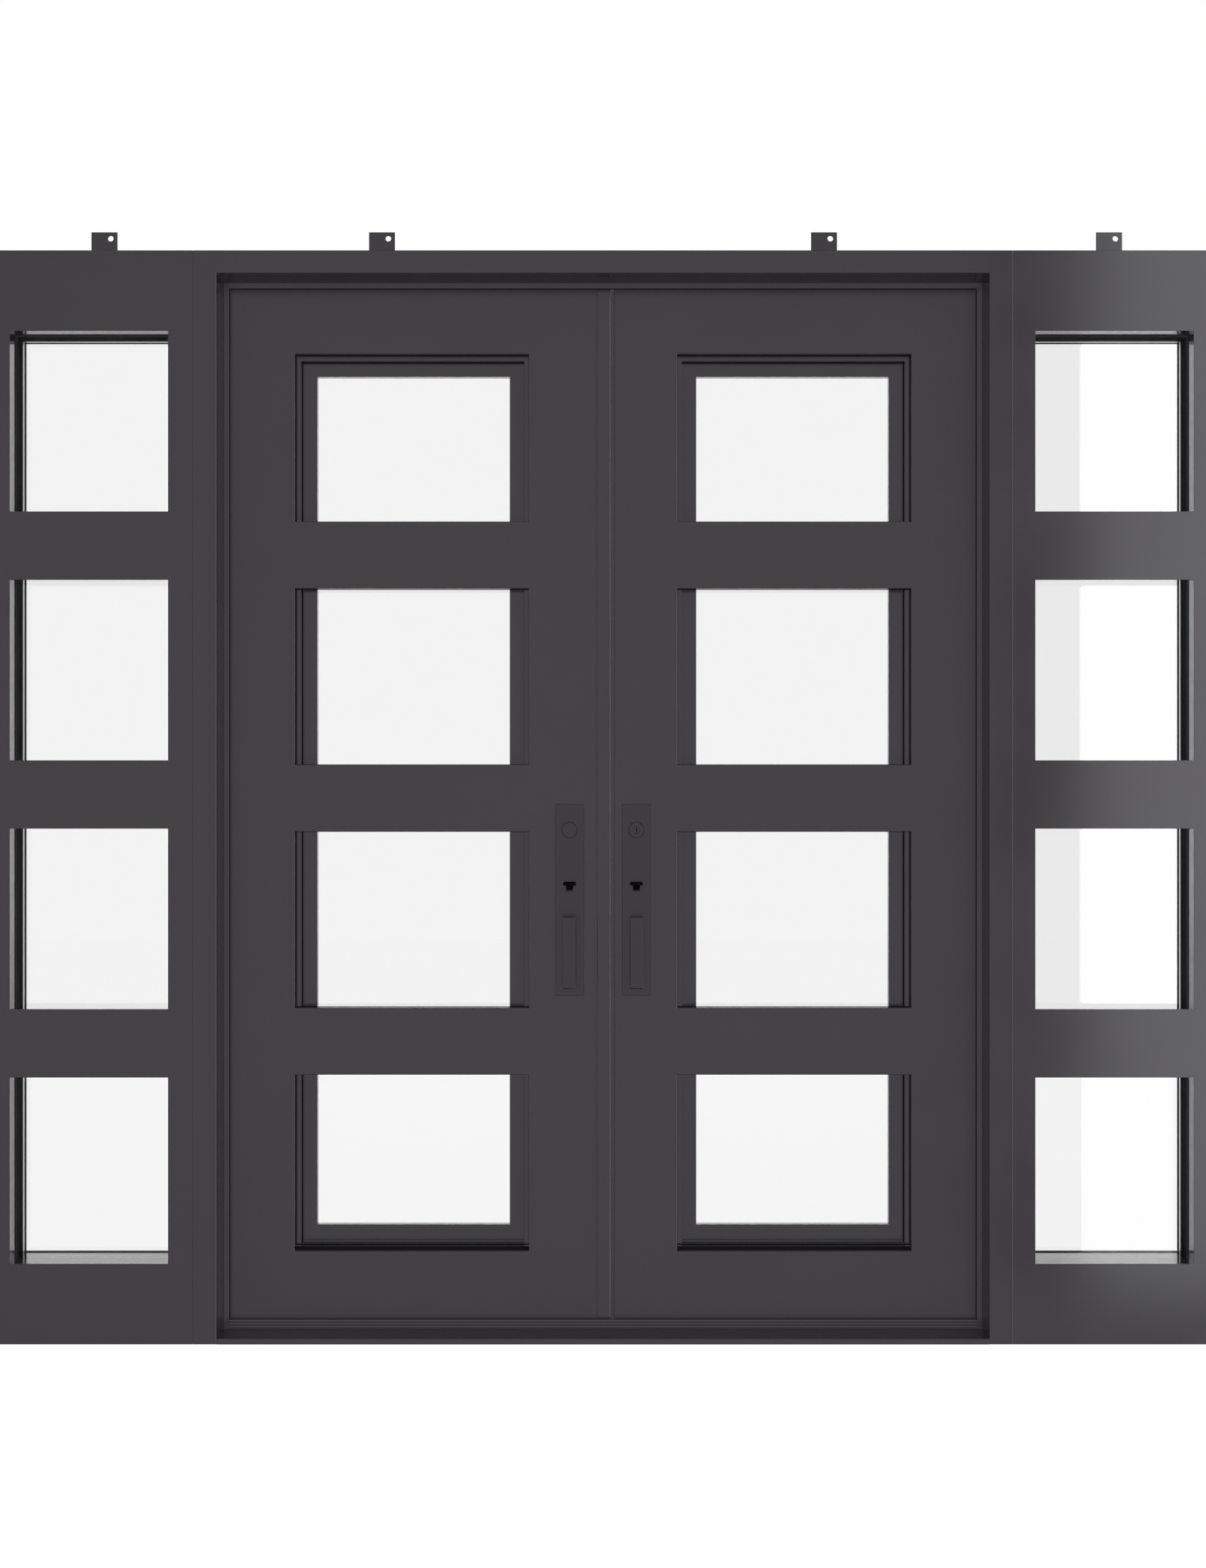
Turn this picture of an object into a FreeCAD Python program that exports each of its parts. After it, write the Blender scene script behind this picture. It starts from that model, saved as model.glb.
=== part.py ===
"""Steel entry door with two glazed leaves and a fixed sidelight on each side.

Millimetres. +X is the viewer's right seen from outside, +Y points indoors, +Z is up.
The origin is the middle of the threshold's underside, halfway through the frame.
"""
import FreeCAD, Part
import os
import re
import Sketcher

# Driving sizes: name, millimetres (or degrees), meaning.
SIZES = [
    ("door_unit_width", 1828.8, "frame of the two leaves, between the sidelight seams"),
    ("sidelight_width", 457.2, "each sidelight"),
    ("frame_height", 2438.4, "floor to the top of the head"),
    ("frame_depth", 152.4, "jambs and head of the door unit, front to back"),
    ("sidelight_depth", 139.7, "sidelights, front to back"),
    ("jamb_width", 52.8, "face of a jamb"),
    ("head_height", 50.8, "face of the head"),
    ("edge_break", 1.2, "small chamfer on exposed corners"),
    ("threshold_plate", 12.7, "thickness of the threshold plate"),
    ("upstand_top", 33.0, "top of the threshold's upstand above the floor"),
    ("stop_setback", 92.0, "front face to the front of the stops"),
    ("stop_thickness", 6.35, "stop bar, front to back"),
    ("stop_cover", 12.7, "how far a stop stands in from the jamb or head"),
    ("seal_clearance", 0.6, "weatherstrip to the closed leaf"),
    ("seal_cover", 9.0, "how far the weatherstrip stands in from the jamb or head"),
    ("leaf_thickness", 50.8, "leaf, front to back"),
    ("edge_gap", 5.5, "leaf to jamb and head"),
    ("bottom_gap", 6.3, "leaf to threshold plate"),
    ("meeting_offset", 17.2, "how far the left leaf passes the centre line"),
    ("meeting_gap", 8.0, "steel to steel between the leaves"),
    ("meeting_seal_width", 5.0, "brush strip on the right leaf's edge"),
    ("meeting_seal_depth", 12.0, "brush strip, front to back"),
    ("astragal_width", 31.0, "flat bar over the meeting edge"),
    ("astragal_thickness", 6.35, "flat bar, front to back"),
    ("astragal_clearance", 5.0, "astragal to head stop and upstand"),
    ("recess_inset", 168.6, "centre line to the glazed recess"),
    ("hinge_stile", 154.7, "width of a leaf's hinge stile"),
    ("leaf_top_rail", 154.0, "height of a leaf's top rail"),
    ("leaf_bottom_rail", 168.2, "height of a leaf's bottom rail"),
    ("lip_width", 11.7, "glazing lip round the recess"),
    ("lip_setback", 24.0, "leaf face to the front of the lip"),
    ("lip_lift", 5.2, "drain gap under the lip's side legs"),
    ("sash_setback", 47.5, "leaf face to the front of the sash"),
    ("sash_thickness", 24.4, "sash, front to back"),
    ("sash_fit", 1.0, "sash to recess, all round"),
    ("sash_show", 33.8, "sash seen inside the lip at the sides"),
    ("sash_show_top", 31.3, "sash seen below the lip's top"),
    ("sash_show_bottom", 40.7, "sash seen above the sill gasket"),
    ("sill_gasket_thickness", 1.5, "rubber on the bottom of the recess"),
    ("sill_gasket_leg", 10.6, "rubber upturn in front of the sash"),
    ("sill_gasket_wall", 3.0, "rubber upturn, front to back"),
    ("leaf_glass_setback", 6.0, "sash front to glass"),
    ("leaf_glass_thickness", 12.7, "insulated glass unit of a leaf"),
    ("bar_height", 152.4, "horizontal bars of leaves and sidelights"),
    ("side_bar_depth", 16.0, "a sidelight's bars, front to back"),
    ("leaf_top_lite_less", 19.6, "how much lower a leaf's top lite is than the others"),
    ("side_bottom_lite_more", 12.8, "how much taller a sidelight's bottom lite is than the others"),
    ("side_stile_left", 49.4, "left stile of a sidelight"),
    ("side_stile_right", 55.1, "right stile of a sidelight"),
    ("side_rail_height", 179.6, "top and bottom rails of a sidelight"),
    ("side_gasket_setback", 50.0, "front face to the glazing gasket"),
    ("side_gasket_depth", 63.5, "glazing gasket, front to back"),
    ("side_gasket_thickness", 3.0, "glazing gasket wall"),
    ("side_back_seal_depth", 13.0, "rubber ring at the indoor end of the opening, front to back"),
    ("side_back_seal_thickness", 1.5, "rubber ring at the indoor end of the opening"),
    ("side_glass_setback", 70.0, "front face to a sidelight's glass"),
    ("side_glass_thickness", 24.0, "insulated glass unit of a sidelight"),
    ("tab_width", 58.8, "anchor tab"),
    ("tab_height", 59.0, "anchor tab above the frame"),
    ("tab_thickness", 5.0, "anchor tab"),
    ("tab_hole", 12.7, "diameter of the hole in a tab"),
    ("tab_hole_offset", 14.3, "hole to the right of the tab's centre line"),
    ("tab_hole_drop", 14.3, "hole below the tab's top"),
    ("inner_tab_place", 500.0, "centre line to the inner tabs"),
    ("left_tab_place", 1128.0, "centre line to the outer left tab"),
    ("right_tab_place", 1145.0, "centre line to the outer right tab"),
    ("hinge_radius", 9.0, "hinge barrel"),
    ("hinge_pin_radius", 5.0, "hinge pin"),
    ("hinge_pin_clearance", 0.1, "pin to bore, on the radius"),
    ("hinge_axis_gap", 0.5, "barrel to the back faces"),
    ("hinge_half_height", 60.0, "each half of a barrel"),
    ("hinge_face_gap", 0.4, "between the halves of a barrel"),
    ("hinge_pad_width", 14.0, "weld pad between barrel and steel"),
    ("hinge_inset", 206.5, "end of a leaf to the middle of its nearest hinge"),
    ("plate_width", 65.0, "escutcheon plate"),
    ("plate_height", 435.0, "escutcheon plate"),
    ("plate_thickness", 5.0, "escutcheon plate"),
    ("plate_place", 76.0, "centre line of the door to the plate's centre line"),
    ("plate_bottom", 769.0, "floor to the plate's lower end"),
    ("plate_edge", 0.8, "chamfer round the escutcheon's face"),
    ("cylinder_radius", 18.5, "lock cylinder collar"),
    ("cylinder_height", 3.0, "collar proud of the plate"),
    ("cylinder_drop", 58.9, "top of the plate to the cylinder's centre"),
    ("plug_radius", 7.5, "turning plug of the keyed cylinder"),
    ("plug_groove", 0.6, "groove round the plug"),
    ("groove_depth", 1.0, "groove round the plug"),
    ("keyway_width", 2.2, "keyway of the plug"),
    ("keyway_height", 9.0, "keyway of the plug"),
    ("keyway_depth", 2.2, "keyway of the plug"),
    ("slot_drop", 176.7, "top of the plate to the top of the thumb slot"),
    ("slot_bar", 8.5, "height of the upper part of the thumb slot"),
    ("slot_height", 21.7, "whole thumb slot"),
    ("thumb_width", 27.0, "flange of the thumb piece"),
    ("thumb_flange", 5.4, "thickness of the thumb piece's flange"),
    ("thumb_web", 14.0, "web of the thumb piece, side to side"),
    ("thumb_web_height", 12.5, "web of the thumb piece below its flange"),
    ("thumb_side_clearance", 1.0, "thumb piece to the sides of its slot"),
    ("thumb_top_clearance", 0.6, "thumb piece to the top of its slot"),
    ("thumb_reach", 32.0, "thumb piece beyond the plate"),
    ("thumb_nose", 3.5, "rounding of the thumb piece's upper front edge"),
    ("thumb_corner", 6.0, "rounding of the thumb piece's tip seen from above"),
    ("thumb_pivot_depth", 7.0, "leaf face to the thumb piece's pivot"),
    ("thumb_pivot_drop", 9.0, "top of the thumb piece to its pivot"),
    ("thumb_boss_radius", 5.0, "boss of the thumb piece"),
    ("thumb_pin_radius", 2.0, "pivot pin of the thumb piece"),
    ("thumb_pin_clearance", 0.1, "pivot pin to boss, on the radius"),
    ("ear_thickness", 3.0, "ear that holds the pivot pin"),
    ("ear_gap", 0.8, "ear to thumb piece"),
    ("pocket_room", 1.0, "ears to the sides of the pocket in the stile"),
    ("pocket_height", 40.0, "pocket in the stile behind the thumb slot"),
    ("pocket_depth", 26.0, "pocket in the stile behind the thumb slot"),
    ("grip_width", 28.0, "pull handle"),
    ("grip_drop", 55.6, "thumb slot to the upper end of the pull"),
    ("grip_rise", 19.0, "lower end of the plate to the lower end of the pull"),
    ("grip_reach", 50.0, "pull handle beyond the plate"),
    ("grip_thickness", 11.0, "pull handle, front to back"),
    ("grip_leg", 14.0, "height of the pull's end blocks"),
    ("grip_round", 3.0, "rounding of the pull's outer corners"),
    ("grip_inner_round", 8.0, "rounding of the pull's inner corners"),
    ("turn_length", 34.0, "thumb turn indoors"),
    ("turn_width", 9.0, "thumb turn indoors"),
    ("turn_reach", 24.0, "thumb turn beyond the inner plate"),
]

# Places worked out from the sizes: name, formula, meaning.
PLACES = [
    ("front", "-frame_depth / 2", "outdoor face of the frame"),
    ("back", "frame_depth / 2", "indoor face of the frame"),
    ("half_unit", "door_unit_width / 2", "seam between door unit and sidelight"),
    ("jamb_inside", "half_unit - jamb_width", "inner face of a jamb"),
    ("head_under", "frame_height - head_height", "underside of the head"),
    ("stop_front", "front + stop_setback", "front of the stops"),
    ("stop_back", "stop_front + stop_thickness", "back of the stops"),
    ("leaf_front", "back - leaf_thickness", "outdoor face of the leaves"),
    ("leaf_bottom", "threshold_plate + bottom_gap", "lower end of the leaves"),
    ("leaf_top", "head_under - edge_gap", "upper end of the leaves"),
    ("leaf_height", "leaf_top - leaf_bottom", "height of the leaves"),
    ("hinge_edge", "jamb_inside - edge_gap", "hinge edge of a leaf from the centre line"),
    ("right_meeting", "meeting_offset + meeting_gap", "meeting edge of the right leaf"),
    ("recess_outer", "hinge_edge - hinge_stile", "far side of the recess"),
    ("recess_width", "recess_outer - recess_inset", "glazed recess of a leaf"),
    ("recess_bottom", "leaf_bottom + leaf_bottom_rail", "bottom of the recess"),
    ("recess_top", "leaf_top - leaf_top_rail", "top of the recess"),
    ("leaf_lite", "(recess_top - recess_bottom - 3 * bar_height + leaf_top_lite_less) / 4",
     "height of a leaf's three lower lites"),
    ("leaf_bar_pitch", "leaf_lite + bar_height", "centre to centre of a leaf's bars"),
    ("lip_front", "leaf_front + lip_setback", "front of the glazing lip"),
    ("sash_front", "leaf_front + sash_setback", "front of the sash"),
    ("lip_bottom", "recess_bottom + lip_lift", "lower end of the lip"),
    ("glass_inset", "recess_inset + lip_width + sash_show", "centre line to the glass opening"),
    ("glass_bottom", "recess_bottom + sill_gasket_leg + sash_show_bottom", "sight line of the glass"),
    ("glass_top", "recess_top - lip_width - sash_show_top", "sight line of the glass"),
    ("side_opening", "sidelight_width - side_stile_left - side_stile_right",
     "clear width between a sidelight's stiles"),
    ("side_clear", "frame_height - 2 * side_rail_height", "between a sidelight's rails"),
    ("side_lite", "(side_clear - 3 * bar_height - side_bottom_lite_more) / 4",
     "height of a sidelight's three upper lites"),
    ("side_bar_pitch", "side_lite + bar_height", "centre to centre of a sidelight's bars"),
    ("plate_front", "leaf_front - plate_thickness", "outdoor face of the escutcheon"),
    ("hinge_place", "jamb_inside - edge_gap / 2", "hinge axis from the centre line"),
    ("hinge_axis", "back + hinge_radius + hinge_axis_gap", "hinge axis, front to back"),
    ("hinge_lowest", "leaf_bottom + hinge_inset", "middle of the lowest hinge"),
    ("hinge_pitch", "(leaf_height - 2 * hinge_inset) / 3", "hinge to hinge"),
    ("plate_top", "plate_bottom + plate_height", "upper end of the escutcheon"),
    ("slot_top", "plate_top - slot_drop", "top of the thumb slot"),
    ("grip_height", "plate_height - slot_drop - slot_height - grip_drop - grip_rise", "pull handle"),
    ("slot_width", "thumb_width + 2 * thumb_side_clearance", "upper part of the thumb slot"),
    ("slot_stem_width", "thumb_web + 2 * thumb_side_clearance", "lower part of the thumb slot"),
    ("thumb_top", "slot_top - thumb_top_clearance", "top of the thumb piece"),
    ("thumb_centre", "thumb_top - thumb_pivot_drop", "height of the thumb piece's pivot"),
    ("pocket_width", "thumb_width + 2 * (ear_gap + ear_thickness + pocket_room)",
     "pocket in the stile behind the thumb slot"),
    ("thumb_pivot", "leaf_front + thumb_pivot_depth", "pivot of the thumb piece, front to back"),
]

HINGES = 4
BARS = 3

doc = FreeCAD.newDocument("door_with_sidelights")
vector = FreeCAD.Vector


def fill_sheet(name, rows):
    """Write one row for each size: its name, its value under an alias, and its meaning."""
    sheet = doc.addObject("Spreadsheet::Sheet", name)
    for row, (alias, value, meaning) in enumerate(rows, start=1):
        sheet.set("A%d" % row, alias)
        sheet.setAlias("B%d" % row, alias)
        sheet.set("B%d" % row, value)
        sheet.set("C%d" % row, meaning)
    return sheet


SHEET_OF = {row[0]: "sizes" for row in SIZES}
SHEET_OF.update({row[0]: "places" for row in PLACES})


def formula(text, own=None):
    """Point each size's name in a formula at its sheet, but for names in the sheet own."""
    def cell(match):
        word = match.group()
        home = SHEET_OF.get(word)
        if home is None or home == own:
            return word
        return "%s.%s" % (home, word)
    return re.sub(r"[a-z_]+", cell, str(text))


sizes = fill_sheet("sizes", [(name, str(value), meaning) for name, value, meaning in SIZES])
doc.recompute()
places = fill_sheet("places", [(name, "=" + formula(rule, "places"), meaning)
                               for name, rule, meaning in PLACES])
doc.recompute()


def bind(item, **rules):
    """Tie properties to formulas; two underscores in a keyword stand for a dot."""
    for name, rule in rules.items():
        item.setExpression(name.replace("__", "."), formula(rule))


def put(item, x="0", y="0", z="0"):
    """Tie the place of an object to three formulas."""
    item.setExpression("Placement.Base.x", formula(x))
    item.setExpression("Placement.Base.y", formula(y))
    item.setExpression("Placement.Base.z", formula(z))
    return item


def block(name, x, y, z, width, depth, height):
    """A square-cornered bar or plate from its lowest corner."""
    item = doc.addObject("Part::Box", name)
    bind(item, Length=width, Width=depth, Height=height)
    return put(item, x, y, z)


def rod(name, x, y, z, radius, length, along="Z"):
    """A round bar from the middle of its first end, along one axis."""
    item = doc.addObject("Part::Cylinder", name)
    turns = {"Z": (vector(0, 0, 1), 0), "X": (vector(0, 1, 0), 90), "Y": (vector(1, 0, 0), -90)}
    axis, angle = turns[along]
    item.Placement = FreeCAD.Placement(vector(), FreeCAD.Rotation(axis, angle))
    bind(item, Radius=radius, Height=length)
    return put(item, x, y, z)


def join(name, items):
    """One solid from pieces that meet."""
    item = doc.addObject("Part::MultiFuse", name)
    item.Shapes = items
    item.Refine = True
    return item


def cut(name, base, tool):
    """Base with tool taken away."""
    item = doc.addObject("Part::Cut", name)
    item.Base = base
    item.Tool = tool
    item.Refine = True
    return item


def group(name, items):
    """Like pieces that keep apart, kept under one name."""
    item = doc.addObject("Part::Compound", name)
    item.Links = items
    return item


def number(rule):
    """The present value of a formula."""
    words = {}
    for name in SHEET_OF:
        words[name] = getattr(sizes if SHEET_OF[name] == "sizes" else places, name)
    total = re.sub(r"[a-z_]+", lambda match: repr(float(words[match.group()])), str(rule))
    return FreeCAD.Units.Quantity(total).Value


def profile(name, plane, outlines, length, midplane=False, reverse=False):
    """A body padded from closed outlines; each corner is a pair of formulas.

    Plane XY pads up, XZ pads towards the front, YZ pads to the right.
    """
    body = doc.addObject("PartDesign::Body", name)
    sketch = body.newObject("Sketcher::SketchObject", name + "_outline")
    for feature in body.Origin.OriginFeatures:
        if feature.Role == plane + "_Plane":
            sketch.AttachmentSupport = [(feature, "")]
    sketch.MapMode = "FlatFace"
    rules = []
    for outline in outlines:
        first = sketch.GeometryCount
        count = len(outline)
        corners = [(number(across), number(up)) for across, up in outline]
        for index in range(count):
            here = vector(*corners[index], 0)
            there = vector(*corners[(index + 1) % count], 0)
            sketch.addGeometry(Part.LineSegment(here, there), False)
        for index in range(count):
            edge, following = first + index, first + (index + 1) % count
            sketch.addConstraint(Sketcher.Constraint("Coincident", edge, 2, following, 1))
        for index in range(count):
            for kind, axis, side in (("DistanceX", -2, 0), ("DistanceY", -1, 1)):
                edge, rule = first + index, str(outline[index][side])
                if rule == "0":
                    sketch.addConstraint(Sketcher.Constraint("PointOnObject", edge, 1, axis))
                    continue
                value = corners[index][side]
                place = sketch.addConstraint(Sketcher.Constraint(kind, -1, 1, edge, 1, value))
                rules.append((place, rule))
    for place, rule in rules:
        sketch.setExpression("Constraints[%d]" % place, formula(rule))
    pad = body.newObject("PartDesign::Pad", name + "_pad")
    pad.Profile = sketch
    pad.Midplane = midplane
    pad.Reversed = reverse
    bind(pad, Length=length)
    doc.recompute()
    return body


def rectangle(left, bottom, right, top):
    """The four corners of a rectangle, as formulas."""
    return [(left, bottom), (right, bottom), (right, top), (left, top)]


def mirrored(name, source):
    """The same piece on the other side of the centre line."""
    item = doc.addObject("Part::Mirroring", name)
    item.Source = source
    item.Normal = vector(1, 0, 0)
    return item


nodes = {}


def keep(name, item):
    """Note a finished piece under the name of its file."""
    item.Label = name
    nodes[name] = item
    return item


def make_frame():
    """Jambs, head, threshold with its upstand, stops and weatherstrip of the door unit."""
    corner = [("jamb_inside", "front + edge_break"), ("jamb_inside + edge_break", "front"),
              ("half_unit - edge_break", "front"), ("half_unit", "front + edge_break"),
              ("half_unit", "back"), ("jamb_inside", "back")]
    right = profile("right_jamb", "XY", [corner], "frame_height")
    keep("right_jamb", right)
    keep("left_jamb", mirrored("left_jamb", right))
    keep("head", block("head", "-jamb_inside", "front", "head_under",
                       "2 * jamb_inside", "frame_depth", "head_height"))
    sill = [("front", "0"), ("back", "0"), ("back", "threshold_plate"),
            ("stop_back", "threshold_plate"), ("stop_back", "upstand_top"),
            ("stop_front", "upstand_top"), ("stop_front", "threshold_plate"),
            ("front", "threshold_plate")]
    threshold = profile("threshold", "YZ", [sill], "2 * jamb_inside", midplane=True)
    keep("threshold", threshold)
    inner = "jamb_inside - stop_cover"
    under = "head_under - stop_cover"
    stop = [("-jamb_inside", "threshold_plate"), ("-(%s)" % inner, "threshold_plate"),
            ("-(%s)" % inner, under), (inner, under), (inner, "threshold_plate"),
            ("jamb_inside", "threshold_plate"), ("jamb_inside", "head_under"),
            ("-jamb_inside", "head_under")]
    stops = profile("door_stops", "XZ", [stop], "stop_thickness")
    put(stops, "0", "stop_back", "0")
    sill_slot = block("stop_sill_slot", "-jamb_inside", "stop_front", "0",
                      "2 * jamb_inside", "stop_thickness", "upstand_top")
    keep("door_stops", cut("door_stops_cut", stops, sill_slot))
    strip = profile("weatherstrip", "XZ", [
        rectangle("-jamb_inside", "threshold_plate", "jamb_inside", "head_under"),
        rectangle("-(jamb_inside - seal_cover)", "upstand_top - 1",
                  "jamb_inside - seal_cover", "head_under - seal_cover")],
        "leaf_front - seal_clearance - stop_back")
    keep("weatherstrip", put(strip, "0", "leaf_front - seal_clearance", "0"))


def make_tabs():
    """Four anchor tabs on top of the frame, each with one hole near its upper right corner."""
    tabs = []
    for index, place in enumerate(("-left_tab_place", "-inner_tab_place",
                                   "inner_tab_place", "right_tab_place")):
        name = "anchor_tab_%d" % (index + 1)
        plate = block(name, place + " - tab_width / 2", "-tab_thickness / 2", "frame_height",
                      "tab_width", "tab_thickness", "tab_height")
        hole = rod(name + "_hole", place + " + tab_hole_offset", "-tab_thickness",
                   "frame_height + tab_height - tab_hole_drop", "tab_hole / 2", "2 * tab_thickness", "Y")
        tabs.append(cut(name + "_drilled", plate, hole))
    keep("anchor_tabs", group("anchor_tabs", tabs))


def make_sidelight(side, left):
    """Stiles, rails, bars, glass and gaskets of one sidelight whose left edge is at left."""
    opening = left + " + side_stile_left"
    stiles = [
        block(side + "_stile_a", left, "front", "0", "side_stile_left", "sidelight_depth", "frame_height"),
        block(side + "_stile_b", opening + " + side_opening", "front", "0",
              "side_stile_right", "sidelight_depth", "frame_height")]
    keep(side + "_sidelight_stiles", group(side + "_sidelight_stiles", stiles))
    rails = [block(side + "_rail_%d" % index, opening, "front", level,
                   "side_opening", "sidelight_depth", "side_rail_height")
             for index, level in enumerate(("0", "frame_height - side_rail_height"))]
    keep(side + "_sidelight_rails", group(side + "_sidelight_rails", rails))
    first = "side_rail_height + side_bottom_lite_more + side_lite"
    bars = [block(side + "_bar_%d" % index, opening, "front", first + " + %d * side_bar_pitch" % index,
                  "side_opening", "side_bar_depth", "bar_height")
            for index in range(BARS)]
    keep(side + "_sidelight_bars", group(side + "_sidelight_bars", bars))
    keep(side + "_sidelight_glass", block(
        side + "_pane", opening + " + side_gasket_thickness", "front + side_glass_setback",
        "side_rail_height", "side_opening - 2 * side_gasket_thickness", "side_glass_thickness",
        "side_clear - side_gasket_thickness"))
    gaskets = [edge_strips(side + "_gasket", opening, "side_gasket_setback",
                           "side_gasket_thickness", "side_gasket_depth", False),
               edge_strips(side + "_back_seal", opening, "sidelight_depth - side_back_seal_depth",
                           "side_back_seal_thickness", "side_back_seal_depth", True)]
    keep(side + "_sidelight_gaskets", group(side + "_sidelight_gaskets", gaskets))


def edge_strips(name, opening, setback, thickness, depth, below):
    """Rubber up both sides and along the top of an opening, and along its bottom too if below."""
    place, low = "front + " + setback, "side_rail_height"
    strips = [block(name + "_a", opening, place, low, thickness, depth, "side_clear"),
              block(name + "_b", "%s + side_opening - %s" % (opening, thickness), place, low,
                    thickness, depth, "side_clear"),
              block(name + "_above", opening, place, "%s + side_clear - %s" % (low, thickness),
                    "side_opening", depth, thickness)]
    if below:
        strips.append(block(name + "_below", opening, place, low, "side_opening", depth, thickness))
    return join(name + "_hoop", strips)


def make_leaf(side, meeting):
    """Welded stiles, rails and bars, lip, gasket, sash and glass of a leaf.

    A leaf is drawn as the right one, from its meeting edge outwards. The left one is its mirror
    image, with its meeting edge past the centre line.
    """
    def finish(name, item):
        if side == "left":
            item = mirrored(side + "_" + name, item)
        keep(side + "_" + name, item)

    def label(name):
        return "%s_%s_drawn" % (side, name)

    inner = block(label("meeting_stile"), meeting, "leaf_front", "leaf_bottom",
                  "recess_inset - (%s)" % meeting, "leaf_thickness", "leaf_height")
    pocket = block(label("thumb_pocket"), "plate_place - pocket_width / 2", "leaf_front",
                   "thumb_centre - pocket_height / 2", "pocket_width", "pocket_depth", "pocket_height")
    outer = block(label("hinge_stile"), "recess_outer", "leaf_front", "leaf_bottom",
                  "hinge_edge - recess_outer", "leaf_thickness", "leaf_height")
    finish("leaf_stiles", group(label("stiles"), [cut(label("pocketed_stile"), inner, pocket), outer]))
    rails = [
        block(label("bottom_rail"), "recess_inset", "leaf_front", "leaf_bottom",
              "recess_width", "leaf_thickness", "recess_bottom - leaf_bottom"),
        block(label("top_rail"), "recess_inset", "leaf_front", "recess_top",
              "recess_width", "leaf_thickness", "leaf_top - recess_top")]
    finish("leaf_rails", group(label("rails"), rails))

    bars = [block(label("bar_%d" % index), "recess_inset", "leaf_front",
                  "recess_bottom + leaf_lite + %d * leaf_bar_pitch" % index,
                  "recess_width", "lip_setback", "bar_height")
            for index in range(BARS)]
    finish("leaf_bars", group(label("bars"), bars))

    hood = [("recess_inset", "lip_bottom"), ("recess_inset + lip_width", "lip_bottom"),
            ("recess_inset + lip_width", "recess_top - lip_width"),
            ("recess_outer - lip_width", "recess_top - lip_width"),
            ("recess_outer - lip_width", "lip_bottom"), ("recess_outer", "lip_bottom"),
            ("recess_outer", "recess_top"), ("recess_inset", "recess_top")]
    lip = profile(label("lip"), "XZ", [hood], "sash_setback - lip_setback")
    finish("glazing_lip", put(lip, "0", "sash_front", "0"))

    sill = [("leaf_front", "recess_bottom"), ("sash_front", "recess_bottom"),
            ("sash_front", "recess_bottom + sill_gasket_leg"),
            ("sash_front - sill_gasket_wall", "recess_bottom + sill_gasket_leg"),
            ("sash_front - sill_gasket_wall", "recess_bottom + sill_gasket_thickness"),
            ("leaf_front", "recess_bottom + sill_gasket_thickness")]
    gasket = profile(label("sill_gasket"), "YZ", [sill], "recess_width")
    put(gasket, "recess_inset", "0", "0")
    reliefs = [block(label("lip_relief_%d" % index), place, "lip_front", "lip_bottom", "lip_width",
                     "sash_setback - lip_setback", "sill_gasket_leg")
               for index, place in enumerate(("recess_inset", "recess_outer - lip_width"))]
    finish("sill_gasket", cut(label("sill_gasket_fit"), gasket, group(label("lip_reliefs"), reliefs)))

    sash = profile(label("sash"), "XZ", [
        rectangle("recess_inset + sash_fit", "recess_bottom + sash_fit",
                  "recess_outer - sash_fit", "recess_top - sash_fit"),
        rectangle("glass_inset", "glass_bottom",
                  "recess_outer - lip_width - sash_show", "glass_top")], "sash_thickness")
    finish("sash", put(sash, "0", "sash_front + sash_thickness", "0"))
    glass = block(label("glass"), "glass_inset", "sash_front + leaf_glass_setback", "glass_bottom",
                  "recess_width - 2 * lip_width - 2 * sash_show", "leaf_glass_thickness",
                  "glass_top - glass_bottom")
    finish("leaf_glass", glass)


def make_hinges(side):
    """Weld-on barrel hinges: the frame half carries the pin, the leaf half is bored for it."""
    lower, upper = [], []
    for index in range(HINGES):
        middle = "hinge_lowest + %d * hinge_pitch" % index
        name = "%s_hinge_%d" % (side, index)
        foot = middle + " - hinge_half_height"
        barrel = rod(name + "_lower", "hinge_place", "hinge_axis", foot,
                     "hinge_radius", "hinge_half_height - hinge_face_gap / 2")
        pin = rod(name + "_pin", "hinge_place", "hinge_axis", middle + " - hinge_face_gap",
                  "hinge_pin_radius", "hinge_half_height / 2")
        pad = block(name + "_frame_pad", "jamb_inside", "back", foot, "hinge_pad_width",
                    "hinge_axis - back", "hinge_half_height - hinge_face_gap / 2")
        lower.append(join(name + "_frame_half", [barrel, pin, pad]))
        head = middle + " + hinge_face_gap / 2"
        cap = rod(name + "_upper", "hinge_place", "hinge_axis", head,
                  "hinge_radius", "hinge_half_height - hinge_face_gap / 2")
        leaf_pad = block(name + "_leaf_pad", "hinge_edge - hinge_pad_width", "back", head, "hinge_pad_width",
                         "hinge_axis - back", "hinge_half_height - hinge_face_gap / 2")
        bore = rod(name + "_bore", "hinge_place", "hinge_axis", middle + " - hinge_face_gap",
                   "hinge_pin_radius + hinge_pin_clearance", "hinge_half_height / 2 + hinge_face_gap + 1")
        upper.append(cut(name + "_leaf_half", join(name + "_leaf_blank", [cap, leaf_pad]), bore))
    frame_half = group(side + "_frame_hinges_drawn", lower)
    leaf_half = group(side + "_leaf_hinges_drawn", upper)
    if side == "left":
        frame_half = mirrored("left_frame_hinges", frame_half)
        leaf_half = mirrored("left_leaf_hinges", leaf_half)
    keep(side + "_frame_hinges", frame_half)
    keep(side + "_leaf_hinges", leaf_half)


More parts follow.
